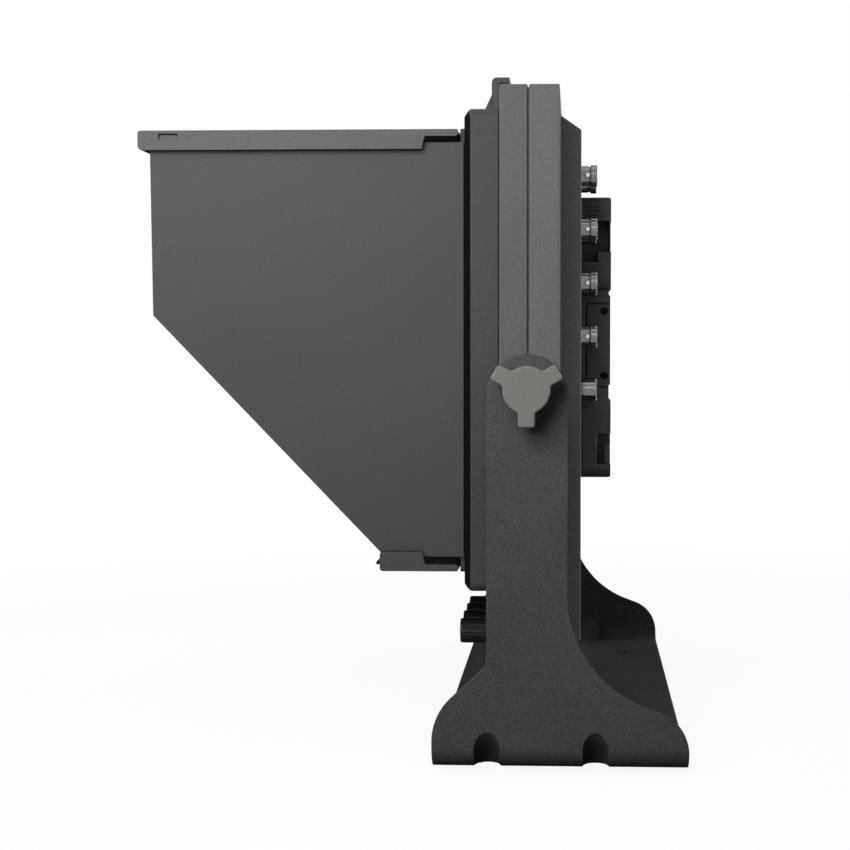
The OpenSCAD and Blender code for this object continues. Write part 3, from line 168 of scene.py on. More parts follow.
def wearEdges(tree, spec, colour, cloud):
    # handling rubs the edges to one even tone, in patches: there the normal over a small radius leaves the true one
    edge = addNode(tree, "ShaderNodeBevel",
                   {"samples": shading["wornSamples"], "Radius": spec["wornWidth"] / mmPerMetre})
    flat = addNode(tree, "ShaderNodeNewGeometry")
    turn = addNode(tree, "ShaderNodeVectorMath", {"operation": "DOT_PRODUCT"},
                   {0: edge.outputs["Normal"], 1: flat.outputs["Normal"]})
    rub = addNode(tree, "ShaderNodeMapRange",
                  {"From Min": shading["wornFrom"], "From Max": shading["wornFull"],
                   "To Max": shading["wornShare"]}, {"Value": turn.outputs["Value"]})
    patch = addNode(tree, "ShaderNodeMath", {"operation": "MULTIPLY"},
                    {0: rub.outputs["Result"], 1: cloud.outputs["Fac"]})
    return mixColour(tree, patch.outputs[0], colour, spec["worn"])


def blackenInside(tree, spec, place, colour, roughness):
    # the side that looks into the hood is sprayed matt black: gives its colour, roughness and specular level
    facing = addNode(tree, "ShaderNodeVectorMath", {"operation": "DOT_PRODUCT", 1: spec["inside"]},
                     {0: place.outputs["Normal"]})
    inner = addNode(tree, "ShaderNodeMath", {"operation": "GREATER_THAN", 1: shading["insideFrom"]},
                    {0: facing.outputs["Value"]}).outputs[0]
    colour = mixColour(tree, inner, colour, spec["insideColour"])
    dull = addNode(tree, "ShaderNodeMath", {"operation": "MULTIPLY", 1: shading["insideRoughness"]}, {0: inner})
    rougher = addNode(tree, "ShaderNodeMath", {"operation": "MAXIMUM"}, {0: roughness, 1: dull.outputs[0]})
    shine = addNode(tree, "ShaderNodeMath",
                    {"operation": "MULTIPLY_ADD", 1: shading["insideSpecular"], 2: shading["specular"]}, {0: inner})
    return colour, rougher.outputs[0], shine.outputs[0]


def surfaceFinish(name, spec):
    # grain and a wider cloud shade the colour and the gloss, and the grain stands out as relief; painted shade in
    # recesses, worn edges and a matt black inner side are optional
    material, tree = emptyMaterial(name)
    place = addNode(tree, "ShaderNodeTexCoord")
    grain = addNode(tree, "ShaderNodeTexNoise",
                    {"Scale": perMillimetre(spec["grain"]), "Detail": shading["grainDetail"],
                     "Roughness": shading["grainRoughness"]}, {"Vector": place.outputs["Object"]})
    cloud = addNode(tree, "ShaderNodeTexNoise",
                    {"Scale": perMillimetre(shading["cloud"]), "Detail": shading["cloudDetail"]},
                    {"Vector": place.outputs["Object"]})
    haze = addNode(tree, "ShaderNodeMath", {"operation": "MULTIPLY", 1: shading["cloudShare"]},
                   {0: cloud.outputs["Fac"]})
    blend = addNode(tree, "ShaderNodeMath", {"operation": "MULTIPLY_ADD", 1: shading["grainShare"]},
                    {0: grain.outputs["Fac"], 2: haze.outputs[0]})
    colour = addNode(tree, "ShaderNodeValToRGB",
                     {"stops": [(shading["rampStart"], toLinear(spec["dark"])),
                                (shading["rampEnd"], toLinear(spec["light"]))]},
                     {"Fac": blend.outputs[0]}).outputs["Color"]
    roughness = addNode(tree, "ShaderNodeMapRange",
                        {"To Min": spec["roughness"] - shading["roughnessSwing"],
                         "To Max": spec["roughness"] + shading["roughnessSwing"]},
                        {"Value": blend.outputs[0]}).outputs["Result"]
    bump = addNode(tree, "ShaderNodeBump", {"Strength": 1.0, "Distance": spec["depth"] / mmPerMetre},
                   {"Height": grain.outputs["Fac"]})
    # painted shade, darker where faces of the node stand close together
    if "paintedShadeReach" in spec:
        colour = paintShadeInRecesses(tree, spec, colour)
    if "worn" in spec:
        colour = wearEdges(tree, spec, colour, cloud)
    links = {"Base Color": colour, "Roughness": roughness, "Normal": bump.outputs["Normal"]}
    if "inside" in spec:
        colour, roughness, shine = blackenInside(tree, spec, place, colour, roughness)
        links.update({"Base Color": colour, "Roughness": roughness, "Specular IOR Level": shine})
    settings = {"Metallic": spec.get("metallic", 0.0)}
    if "ior" in spec:
        settings.update({"IOR": spec["ior"], "Specular IOR Level": spec.get("specular", shading["specular"])})
    shader = addNode(tree, "ShaderNodeBsdfPrincipled", settings, links)
    addNode(tree, "ShaderNodeOutputMaterial", links={"Surface": shader.outputs["BSDF"]})
    return material


hoodInside = "#0f0f10"
# The finishes, with grain, relief, the reach of the painted recess shade and worn width in millimetres
finishes = {
    # charcoal ABS, moulded against spark-eroded steel: an even fine speckle with no clear highlight
    "sparkedAbs": {"dark": "#59595a", "light": "#69696a", "grain": 0.8, "depth": 0.05, "roughness": 0.56,
                   "ior": 1.5},
    # the same ABS from a coarser spark-eroded mould: paler, because its grain scatters more light
    "sparkedAbsRear": {"dark": "#616162", "light": "#727273", "grain": 1.0, "depth": 0.06, "roughness": 0.58,
                       "ior": 1.5},
    # the same ABS from a finer mould, with its front sprayed matt black: darker and calmer than the case
    "frameAbs": {"dark": "#3a3a3b", "light": "#454546", "grain": 0.8, "depth": 0.03, "roughness": 0.55,
                 "ior": 1.5, "inside": (0, -1, 0), "insideColour": hoodInside},
    # thin ABS panels of the hood, fine mould outside and sprayed matt black inside: smooth, a weak sheen
    # the top panel is coloured paler than the other three: painted light, for the light from above that its upper
    # edge catches
    "topPanelAbsPaintedLight": {"dark": "#565657", "light": "#616162", "grain": 0.8, "depth": 0.02, "roughness": 0.52,
                    "ior": 1.5, "inside": (0, 0, -1), "insideColour": hoodInside},
    "bottomPanelAbs": {"dark": "#3f3f40", "light": "#494949", "grain": 0.7, "depth": 0.02, "roughness": 0.52,
                       "ior": 1.5, "inside": (0, 0, 1), "insideColour": hoodInside},
    "rightPanelAbs": {"dark": "#3f3f40", "light": "#494949", "grain": 0.7, "depth": 0.02, "roughness": 0.52,
                      "ior": 1.5, "inside": (-1, 0, 0), "insideColour": hoodInside},
    "leftPanelAbs": {"dark": "#3f3f40", "light": "#494949", "grain": 0.7, "depth": 0.02, "roughness": 0.52,
                     "ior": 1.5, "inside": (1, 0, 0), "insideColour": hoodInside},
    # black powder coat, baked on bent steel sheet: an orange-peel grain with no gloss, painted shade in the bends
    # and dents, rubbed to an even grey at the edges
    "powderCoat": {"dark": "#4e4e4f", "light": "#656566", "grain": 0.9, "depth": 0.12, "roughness": 0.8,
                   "ior": 1.5, "specular": 0.0, "paintedShadeReach": 10, "paintedShadeShare": 0.85, "worn": "#59595b",
                   "wornWidth": 0.7},
    # zinc casting, bead-blasted and lacquered: warm grey with a soft highlight
    "lacqueredZinc": {"dark": "#7d7b77", "light": "#898782", "grain": 0.5, "depth": 0.01, "roughness": 0.42,
                      "ior": 1.5},
    # black nitrile rubber, pressed in a matt mould: dull, with almost no highlight
    "nitrileRubber": {"dark": "#141414", "light": "#1b1b1b", "grain": 0.7, "depth": 0.02, "roughness": 0.8,
                      "ior": 1.5},
    # black acetal of knobs and keys, moulded in polished steel: smooth and dark, with a waxy highlight
    "blackAcetal": {"dark": "#1d1d1e", "light": "#262627", "grain": 0.6, "depth": 0.01, "roughness": 0.42,
                    "ior": 1.48},
    # glass-filled nylon of the socket panels, moulded: nearly black, mottled by the fibres
    "panelNylon": {"dark": "#222223", "light": "#2e2e2f", "grain": 1.1, "depth": 0.03, "roughness": 0.5,
                   "ior": 1.53},
    # the battery plate's glass-filled nylon, moulded with less black in it: greyer, with painted shade in the
    # recesses
    "plateNylon": {"dark": "#4a4a4b", "light": "#5a5a5b", "grain": 1.1, "depth": 0.03, "roughness": 0.5,
                   "ior": 1.53, "paintedShadeReach": 9, "paintedShadeShare": 0.95},
    # nickel, plated on turned brass: mirror-like, with painted shade in its grooves and bores
    "nickelPlate": {"dark": "#67686a", "light": "#7a7b7d", "grain": 0.8, "depth": 0.003, "roughness": 0.15,
                    "metallic": 1.0, "paintedShadeReach": 2.2, "paintedShadeShare": 0.9},
    # the same plate on the bayonet lugs, coloured much brighter: a painted glint
    "paintedGlintNickel": {"dark": "#b9b9b8", "light": "#c9c9c8", "grain": 0.4, "depth": 0.002, "roughness": 0.25,
                     "metallic": 1.0},
    # fluoropolymer insulator of a socket, turned: creamy white and smooth
    "socketInsulator": {"dark": "#c9c8c2", "light": "#d6d5cf", "grain": 0.5, "depth": 0.002, "roughness": 0.4,
                        "ior": 1.38},
    # zinc, plated on steel and passivated: pale metal with a faint blue-grey cast
    "zincPlate": {"dark": "#8a8c90", "light": "#9d9fa2", "grain": 0.6, "depth": 0.006, "roughness": 0.35,
                  "metallic": 1.0},
    # brass, turned and left bare: warm yellow metal with a fairly sharp highlight
    "turnedBrass": {"dark": "#a98b4c", "light": "#bb9c5a", "grain": 0.5, "depth": 0.005, "roughness": 0.3,
                    "metallic": 1.0},
    # tin, plated on the stamped steel shells of the ports: grey metal, smooth
    "tinPlate": {"dark": "#85868a", "light": "#96979b", "grain": 0.6, "depth": 0.005, "roughness": 0.3,
                 "metallic": 1.0},
    # steel screws, blackened in hot oxide salts: almost black, with a thin metal highlight
    "blackOxide": {"dark": "#0f0f10", "light": "#171718", "grain": 0.4, "depth": 0.005, "roughness": 0.38,
                   "metallic": 1.0},
    # aluminium, milled and left bare: light grey metal with a broad satin highlight
    "milledAluminium": {"dark": "#a4a5a7", "light": "#b5b6b8", "grain": 0.8, "depth": 0.004, "roughness": 0.4,
                        "metallic": 1.0},
    # solder mask, printed on glass-fibre board: dark green and glossy, uneven over the weave
    "solderMask": {"dark": "#173f25", "light": "#1f5030", "grain": 1.6, "depth": 0.01, "roughness": 0.3,
                   "ior": 1.5},
    # polyamide of the sockets and the switch, moulded in polished steel: black, with a clear highlight
    "socketPolyamide": {"dark": "#151515", "light": "#1c1c1c", "grain": 0.8, "depth": 0.01, "roughness": 0.38,
                        "ior": 1.53},
    # polycarbonate lens of the status light, moulded with a diffuser in it: milky and glossy
    "lensPolycarbonate": {"dark": "#a9b8a9", "light": "#bccabc", "grain": 0.5, "depth": 0.002, "roughness": 0.15,
                          "ior": 1.58},
}
materials = {name: surfaceFinish(name, spec) for name, spec in finishes.items()}

# Cover glass with an anti-reflection coat: float glass, screen-printed black round the picture, which is off and
# a shade lighter, with faint smears in its gloss. Sizes in millimetres from the middle of the case
glassSpec = {"halfWidth": 146.9, "halfHeight": 82.6, "middleZ": 169.85, "border": "#040405", "picture": "#171a1e",
             "roughness": 0.09, "smoother": 0.03, "rougher": 0.05, "smear": 30, "smearDetail": 3.0,
             "ior": 1.52, "specular": 0.2}


def makeGlass(spec):
    material, tree = emptyMaterial("printedCoverGlass")
    place = addNode(tree, "ShaderNodeTexCoord").outputs["Object"]
    axes = addNode(tree, "ShaderNodeSeparateXYZ", links={"Vector": place})
    wide = addNode(tree, "ShaderNodeMath", {"operation": "COMPARE", 1: 0.0, 2: spec["halfWidth"] / mmPerMetre},
                   {0: axes.outputs["X"]})
    high = addNode(tree, "ShaderNodeMath", {"operation": "COMPARE", 1: spec["middleZ"] / mmPerMetre,
                                            2: spec["halfHeight"] / mmPerMetre}, {0: axes.outputs["Z"]})
    both = addNode(tree, "ShaderNodeMath", {"operation": "MULTIPLY"}, {0: wide.outputs[0], 1: high.outputs[0]})
    mixed = addNode(tree, "ShaderNodeMix", {"data_type": "RGBA", 6: toLinear(spec["border"]),
                                            7: toLinear(spec["picture"])}, {0: both.outputs[0]})
    smear = addNode(tree, "ShaderNodeTexNoise",
                    {"Scale": perMillimetre(spec["smear"]), "Detail": spec["smearDetail"]}, {"Vector": place})
    gloss = addNode(tree, "ShaderNodeMapRange",
                    {"To Min": spec["roughness"] - spec["smoother"], "To Max": spec["roughness"] + spec["rougher"]},
                    {"Value": smear.outputs["Fac"]})
    shader = addNode(tree, "ShaderNodeBsdfPrincipled", {"IOR": spec["ior"], "Specular IOR Level": spec["specular"]},
                     {"Base Color": mixed.outputs[2], "Roughness": gloss.outputs["Result"]})
    addNode(tree, "ShaderNodeOutputMaterial", links={"Surface": shader.outputs["BSDF"]})
    return material


materials["printedCoverGlass"] = makeGlass(glassSpec)
print("finishes made:", len(materials))

# Which nodes have each finish
wears = {
    "sparkedAbs": ["case_front_shell"],
    "sparkedAbsRear": ["case_rear_shell"],
    "frameAbs": ["hood_frame", "hood_hinge_ring"],
    "topPanelAbsPaintedLight": ["hood_top"],
    "bottomPanelAbs": ["hood_bottom"],
    "rightPanelAbs": ["hood_side_right"],
    "leftPanelAbs": ["hood_side_left"],
    "powderCoat": ["stand_bracket"],
    "lacqueredZinc": ["tilt_knob_right", "tilt_knob_left"],
    "nitrileRubber": ["foot_pads", "pivot_washers", "hood_hook_pads", "hood_bumpers"],
    "blackAcetal": ["picture_knob_1", "picture_knob_2", "picture_knob_3", "picture_knob_4",
                    "function_key_1", "function_key_2", "function_key_3", "function_key_4",
                    "function_key_5", "power_key"],
    "panelNylon": ["connector_panel", "io_panel", "power_panel"],
    "plateNylon": ["v_mount_plate", "v_mount_release"],
    "nickelPlate": ["bnc_jacks", "bnc_nuts", "aux_socket"],
    "zincPlate": ["tripod_insert", "clamp_washers", "knob_encoders", "v_mount_screws", "hood_hinge_pins"],
    "turnedBrass": ["board_standoffs", "pivot_inserts", "v_mount_contacts"],
    "tinPlate": ["hdmi_ports", "usb_port", "lan_port"],
    "blackOxide": ["case_screws"],
    "milledAluminium": ["chassis_plate", "heat_sink"],
    "solderMask": ["main_board", "power_board", "key_board", "encoder_board"],
    "socketPolyamide": ["audio_jacks", "dc_in_socket", "switch_bezel", "power_rocker", "speaker", "lcd_panel"],
    "lensPolycarbonate": ["status_led"],
    "printedCoverGlass": ["screen_glass"],
}
finishOf = {member: finish for finish, members in wears.items() for member in members}
for member, finish in finishOf.items():
    nodes[member].data.materials.clear()
    nodes[member].data.materials.append(materials[finish])
print("nodes dressed:", len(finishOf))


def addPiece(name, mesh, node, finishNames, stands=()):
    # a finished mesh as a piece that rides as its CAD node does, with the given finishes as its material slots;
    # stands names the nodes that it replaces
    for finish in finishNames:
        mesh.materials.append(materials[finish])
    piece = newObject(name, mesh)
    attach(piece, bodyOf[node])
    if stands:
        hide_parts(*stands)
    return piece


# Width in millimetres of the rounding that moulding, pressing or casting leaves on each node's edges
rounding = {
    "case_front_shell": 0.5, "case_rear_shell": 0.5, "hood_frame": 0.4, "hood_hinge_ring": 0.2, "hood_top": 0.35,
    "hood_bottom": 0.3, "hood_side_left": 0.25, "hood_side_right": 0.25, "stand_bracket": 0.5,
    "tilt_knob_right": 0.7, "tilt_knob_left": 0.7, "v_mount_plate": 0.35, "v_mount_release": 0.3,
    "connector_panel": 0.2, "io_panel": 0.2, "power_panel": 0.2, "picture_knob_1": 0.25, "picture_knob_2": 0.25,
    "picture_knob_3": 0.25, "picture_knob_4": 0.25, "function_key_1": 0.3, "function_key_2": 0.3,
    "function_key_3": 0.3, "function_key_4": 0.3, "function_key_5": 0.3, "power_key": 0.3, "switch_bezel": 0.3,
    "power_rocker": 0.3, "dc_in_socket": 0.3, "foot_pads": 0.5, "clamp_washers": 0.2, "hdmi_ports": 0.15,
    "usb_port": 0.15, "lan_port": 0.15, "audio_jacks": 0.2, "hood_bumpers": 0.3, "screen_glass": 0.2,
    "bnc_nuts": 0.2, "tripod_insert": 0.3,
}
# Edges that turn by more degrees than this are rounded, over this many strips
sharpAngle, roundSegments = 35, 2
# Nodes whose solid is two halves that touch at X = 0: their copies lose the walls between the halves
halvedNodes = ["v_mount_plate"]


def roundedCopy(node, width):
    # a copy of the node's own mesh, its doubled points merged, with every sharp edge rounded over this width
    work = bmesh.new()
    work.from_mesh(nodes[node].data)
    bmesh.ops.remove_doubles(work, verts=work.verts, dist=mergeReach)
    if node in halvedNodes:
        middle = [face for face in work.faces if max(abs(corner.co.x) for corner in face.verts) < mergeReach]
        bmesh.ops.delete(work, geom=middle, context="FACES")
    for face in work.faces:
        face.smooth = True
    words = node.split("_")
    name = words[0] + "".join(word.capitalize() for word in words[1:]) + "Rounded"
    mesh = bpy.data.meshes.new(name)
    work.to_mesh(mesh)
    work.free()
    # the normals that come with the copy belong to the edges before rounding
    if "custom_normal" in mesh.attributes:
        mesh.attributes.remove(mesh.attributes["custom_normal"])
    piece = addPiece(name, mesh, node, [finishOf[node]], [node])
    bevel = piece.modifiers.new("roundedEdges", "BEVEL")
    bevel.width = width / mmPerMetre
    bevel.segments = roundSegments
    bevel.limit_method = "ANGLE"
    bevel.angle_limit = math.radians(sharpAngle)
    bevel.use_clamp_overlap = False
    bevel.loop_slide = False
    bevel.harden_normals = True


for node, width in rounding.items():
    roundedCopy(node, width)
print("rounded pieces:", len(rounding))


def turnedGrid(rows, steps, finishIndex):
    # a turned form about Y: each row of (place along Y, radius, squareness) is a ring, and squareness 1
    # pushes the ring out to a square of that half width; rings join in quads, all sizes in millimetres
    rows = np.asarray(rows, float)
    turns = (np.arange(steps) + 0.5) * 2 * math.pi / steps
    reach = 1 / np.maximum(np.abs(np.cos(turns)), np.abs(np.sin(turns)))
    out = rows[:, 1:2] * (1 + rows[:, 2:3] * (reach - 1))
    points = np.stack([out * np.cos(turns), np.broadcast_to(rows[:, 0:1], out.shape), out * np.sin(turns)], axis=-1)
    ring, step = np.meshgrid(np.arange(len(rows) - 1), np.arange(steps), indexing="ij")
    after = (step + 1) % steps
    quads = np.stack([ring * steps + step, (ring + 1) * steps + step,
                      (ring + 1) * steps + after, ring * steps + after], axis=-1)
    return points.reshape(-1, 3), quads.reshape(-1, 4), finishIndex


def joinForms(forms):
    # stacks (points, quads, finish index) forms into one set of arrays
    starts = np.cumsum([0] + [len(points) for points, quads, index in forms])
    points = np.concatenate([form[0] for form in forms])
    quads = np.concatenate([form[1] + start for form, start in zip(forms, starts)])
    marks = np.concatenate([np.broadcast_to(form[2], len(form[1])) for form in forms])
    return points, quads, marks


# Edges of the new forms that turn by more degrees than this stay sharp
creaseAngle = 30


def makeMesh(name, forms, places):
    # one mesh with the forms repeated at every place, in metres, its poles merged
    points, quads, marks = joinForms(forms)
    places = np.asarray(places, float)
    allPoints = (points[None] + places[:, None]).reshape(-1, 3) / mmPerMetre
    allQuads = (quads[None] + (np.arange(len(places)) * len(points))[:, None, None]).reshape(-1, 4)
    mesh = bpy.data.meshes.new(name)
    mesh.from_pydata(allPoints.tolist(), [], allQuads.tolist())
    mesh.polygons.foreach_set("material_index", np.tile(marks, len(places)).astype(np.int32))
    work = bmesh.new()
    work.from_mesh(mesh)
    bmesh.ops.remove_doubles(work, verts=work.verts, dist=mergeReach)
    bmesh.ops.dissolve_degenerate(work, edges=work.edges, dist=shortestEdge)
    work.to_mesh(mesh)
    work.free()
    mesh.shade_smooth()
    mesh.set_sharp_from_angle(angle=math.radians(creaseAngle))
    return mesh


def alongX(form, sign):
    # turns a form from the Y axis to the X axis, and half round about Y for the other side
    points, quads, marks = form
    return np.stack([sign * points[:, 1], -points[:, 0], sign * points[:, 2]], axis=-1), quads, marks


# The places of the coaxial sockets and the round outlet in millimetres, row by row from the top
socketGrid = {"columns": (96, 60), "topZ": 246.3, "pitch": 23.4, "rows": 5, "outlet": 8}
socketPlaces = [(x, 0, socketGrid["topZ"] - socketGrid["pitch"] * row)
                for row in range(socketGrid["rows"]) for x in socketGrid["columns"]]
outletPlace = socketPlaces[socketGrid["outlet"]]
jackPlaces = [place for place in socketPlaces if place != outletPlace]

# A coaxial socket in millimetres, places along Y and radii; tipRound gives pairs of how far back from the tip
# and how much less than the collar, and lift keeps the insulator's back off the floor of the bore
coax = {"boardBack": -8.6, "bodyHalf": 5.25, "panelBack": 2.3, "neck": 4.6, "nutFace": 5.4,
        "threadLead": 0.2, "threadLow": 4.28, "threadEnd": 8.2, "threadPitch": 0.75, "plainNeck": 4.42,
        "groove": 4.1, "grooveLength": 0.8, "grooveWall": 0.05, "grooveStop": 0.02,
        "collar": 4.82, "collarLength": 2.9, "collarStep": 0.3, "collarSlope": 0.25,
        "tip": 15.3, "tipRound": [(0.4, 0), (0.1, 0.18), (0, 0.4)], "mouthSlope": 0.15,
        "bore": 4.05, "boreLength": 9.0, "lift": 0.01,
        "core": 2.45, "coreSet": 2.0, "coreEdge": 0.2, "pinGap": 0.2, "pinWell": 3,
        "pin": 0.7, "pinRoot": 3.1, "pinShoulder": 0.35, "pinSet": 0.2, "pinTaper": 0.15,
        "pinBore": 0.3, "pinBoreEnd": 1.5,
        "lugRadius": 0.95, "lugRoot": 0.1, "lugReach": 5.52, "lugEdge": 0.2, "lugSet": 4.3,
        "steps": 40, "pinSteps": 16, "lugSteps": 24}


def threadRows(low, high, start, end, pitch):
    # a saw of rings from start to end that stands for the thread's turns
    count = int((end - start) / pitch)
    return [row for i in range(count) for row in ((start + i * pitch, low, 0), (start + (i + 0.5) * pitch, high, 0))]


def coaxForms(spec):
    # a square body, then the threaded neck, groove, collar and bore in one outline; the insulator round its
    # pin's well; the pin with a fine bore; and a lug on each side; each form ends with its finish, counted in
    # the list that addPiece gets
    tip, pin = spec["tip"], spec["pin"]
    collarBack = tip - spec["collarLength"]
    grooveBack = collarBack - spec["grooveLength"]
    boreFloor = tip - spec["boreLength"]
    coreFace = tip - spec["coreSet"]
    wellFloor = coreFace - spec["pinWell"]
    shell = ([(spec["boardBack"], 0, 1), (spec["boardBack"], spec["bodyHalf"], 1),
              (spec["panelBack"], spec["bodyHalf"], 1), (spec["panelBack"], spec["neck"], 0),
              (spec["nutFace"] - spec["threadLead"], spec["neck"], 0)]
             + threadRows(spec["threadLow"], spec["neck"], spec["nutFace"], spec["threadEnd"], spec["threadPitch"])
             + [(spec["threadEnd"], spec["plainNeck"], 0), (grooveBack - spec["grooveWall"], spec["plainNeck"], 0),
                (grooveBack, spec["groove"], 0), (collarBack - spec["grooveStop"], spec["groove"], 0),
                (collarBack, spec["collar"] - spec["collarStep"], 0),
                (collarBack + spec["collarSlope"], spec["collar"], 0)]
             + [(tip - back, spec["collar"] - less, 0) for back, less in spec["tipRound"]]
             + [(tip - spec["mouthSlope"], spec["bore"], 0), (boreFloor, spec["bore"], 0), (boreFloor, 0, 0)])
    core = [(boreFloor + spec["lift"], 0, 0), (boreFloor + spec["lift"], spec["core"], 0),
            (coreFace - spec["coreEdge"], spec["core"], 0), (coreFace, spec["core"] - spec["coreEdge"], 0),
            (coreFace, pin + spec["pinGap"], 0), (wellFloor, pin + spec["pinGap"], 0), (wellFloor, 0, 0)]
    contact = [(coreFace - spec["pinRoot"], 0, 0), (coreFace - spec["pinRoot"], pin, 0),
               (coreFace - spec["pinShoulder"], pin, 0), (coreFace - spec["pinSet"], pin - spec["pinTaper"], 0),
               (coreFace - spec["pinSet"], spec["pinBore"], 0), (coreFace - spec["pinBoreEnd"], spec["pinBore"], 0),
               (coreFace - spec["pinBoreEnd"], 0, 0)]
    lug = [(spec["bore"] + spec["lugRoot"], 0, 0), (spec["bore"] + spec["lugRoot"], spec["lugRadius"], 0),
           (spec["lugReach"] - spec["lugEdge"], spec["lugRadius"], 0),
           (spec["lugReach"], spec["lugRadius"] - spec["lugEdge"], 0), (spec["lugReach"], 0, 0)]
    forms = [turnedGrid(shell, spec["steps"], 0), turnedGrid(core, spec["steps"], 1),
             turnedGrid(contact, spec["pinSteps"], 2)]
    for sign in (1, -1):
        points, quads, marks = alongX(turnedGrid(lug, spec["lugSteps"], 3), sign)
        forms.append((points + [0, tip - spec["lugSet"], 0], quads, marks))
    return forms


addPiece("coaxJacks", makeMesh("coaxJacks", coaxForms(coax), jackPlaces), "bnc_jacks",
         ["nickelPlate", "socketInsulator", "turnedBrass", "paintedGlintNickel"], ["bnc_jacks"])

# The round power outlet at the foot of the outer column, in millimetres: a plain sleeve with one groove round
# it, whose four places lie along Y, and a small bore with a pin
aux = {"boardBack": -8.6, "bodyHalf": 5.25, "panelBack": 2.3, "sleeve": 4.82,
       "groove": 4.5, "groovePlaces": (8.4, 8.5, 9.2, 9.3), "tip": 15.3, "tipLength": 0.5, "tipStep": 0.4,
       "bore": 2.45, "boreLength": 9.0, "mouth": 0.35, "lift": 0.01,
       "pin": 0.6, "pinShoulder": 1.4, "pinSet": 1.1, "pinTaper": 0.3, "steps": 40, "pinSteps": 16}


def auxForms(spec):
    # a square body, then the sleeve, its groove and the bore in one outline; and the pin
    tip = spec["tip"]
    boreFloor = tip - spec["boreLength"]
    grooveRadii = (spec["sleeve"], spec["groove"], spec["groove"], spec["sleeve"])
    shell = ([(spec["boardBack"], 0, 1), (spec["boardBack"], spec["bodyHalf"], 1),
              (spec["panelBack"], spec["bodyHalf"], 1), (spec["panelBack"], spec["sleeve"], 0)]
             + [(place, radius, 0) for place, radius in zip(spec["groovePlaces"], grooveRadii)]
             + [(tip - spec["tipLength"], spec["sleeve"], 0), (tip, spec["sleeve"] - spec["tipStep"], 0),
                (tip, spec["bore"] + spec["mouth"], 0), (tip - spec["mouth"], spec["bore"], 0),
                (boreFloor, spec["bore"], 0), (boreFloor, 0, 0)])
    contact = [(boreFloor + spec["lift"], 0, 0), (boreFloor + spec["lift"], spec["pin"], 0),
               (tip - spec["pinShoulder"], spec["pin"], 0),
               (tip - spec["pinSet"], spec["pin"] - spec["pinTaper"], 0), (tip - spec["pinSet"], 0, 0)]
    return [turnedGrid(shell, spec["steps"], 0), turnedGrid(contact, spec["pinSteps"], 1)]


addPiece("auxOutlet", makeMesh("auxOutlet", auxForms(aux), [outletPlace]), "aux_socket",
         ["nickelPlate", "turnedBrass"], ["aux_socket"])
print("sockets made:", len(jackPlaces) + 1)

# A cross recess in shares of the head's radius, and how a shank is made in steps and sunk in its head in mm
cross = {"half": 0.13, "reach": 0.58, "slope": 0.08, "shankSteps": 20, "shankSunk": 0.05}


def crossScrew(spec):
    # a square grid squeezed to a disc; its height is a low dome less a cross-shaped recess with sloping
    # walls, and a second sheet below it closes the head; the shank is a turned form behind it
    steps = spec["steps"]
    side = np.linspace(-1, 1, steps)
    u, v = np.meshgrid(side, side, indexing="ij")
    x, z = u * np.sqrt(1 - v ** 2 / 2), v * np.sqrt(1 - u ** 2 / 2)
    slope = cross["slope"]

    def arm(across, along):
        return (np.clip((cross["half"] + slope - np.abs(across)) / slope, 0, 1)
                * np.clip((cross["reach"] - np.abs(along)) / slope, 0, 1))

    dome = spec["dome"] * (1 - x ** 2 - z ** 2) - spec["dome"]
    top = dome - spec["recess"] * np.maximum(arm(x, z), arm(z, x))
    radius = spec["radius"]
    upper = np.stack([x * radius, top, z * radius], axis=-1).reshape(-1, 3)
    lower = np.stack([x * radius, np.full_like(x, -spec["thick"]), z * radius], axis=-1).reshape(-1, 3)
    index = np.arange(steps * steps).reshape(steps, steps)
    a, b, c, d = index[:-1, :-1], index[1:, :-1], index[1:, 1:], index[:-1, 1:]
    upperQuads = np.stack([a, d, c, b], axis=-1).reshape(-1, 4)
    lowerQuads = np.stack([a, b, c, d], axis=-1).reshape(-1, 4) + steps * steps
    rim = np.concatenate([index[:-1, 0], index[-1, :-1], index[:0:-1, -1], index[0, :0:-1]])
    after = np.roll(rim, -1)
    wall = np.stack([rim, after, after + steps * steps, rim + steps * steps], axis=-1)
    head = (np.concatenate([upper, lower]), np.concatenate([upperQuads, lowerQuads, wall]), 0)
    shankTop = cross["shankSunk"] - spec["thick"]
    shank = [(-spec["length"], 0, 0), (-spec["length"], spec["shank"], 0), (shankTop, spec["shank"], 0),
             (shankTop, 0, 0)]
    return [head, turnedGrid(shank, cross["shankSteps"], 0)]


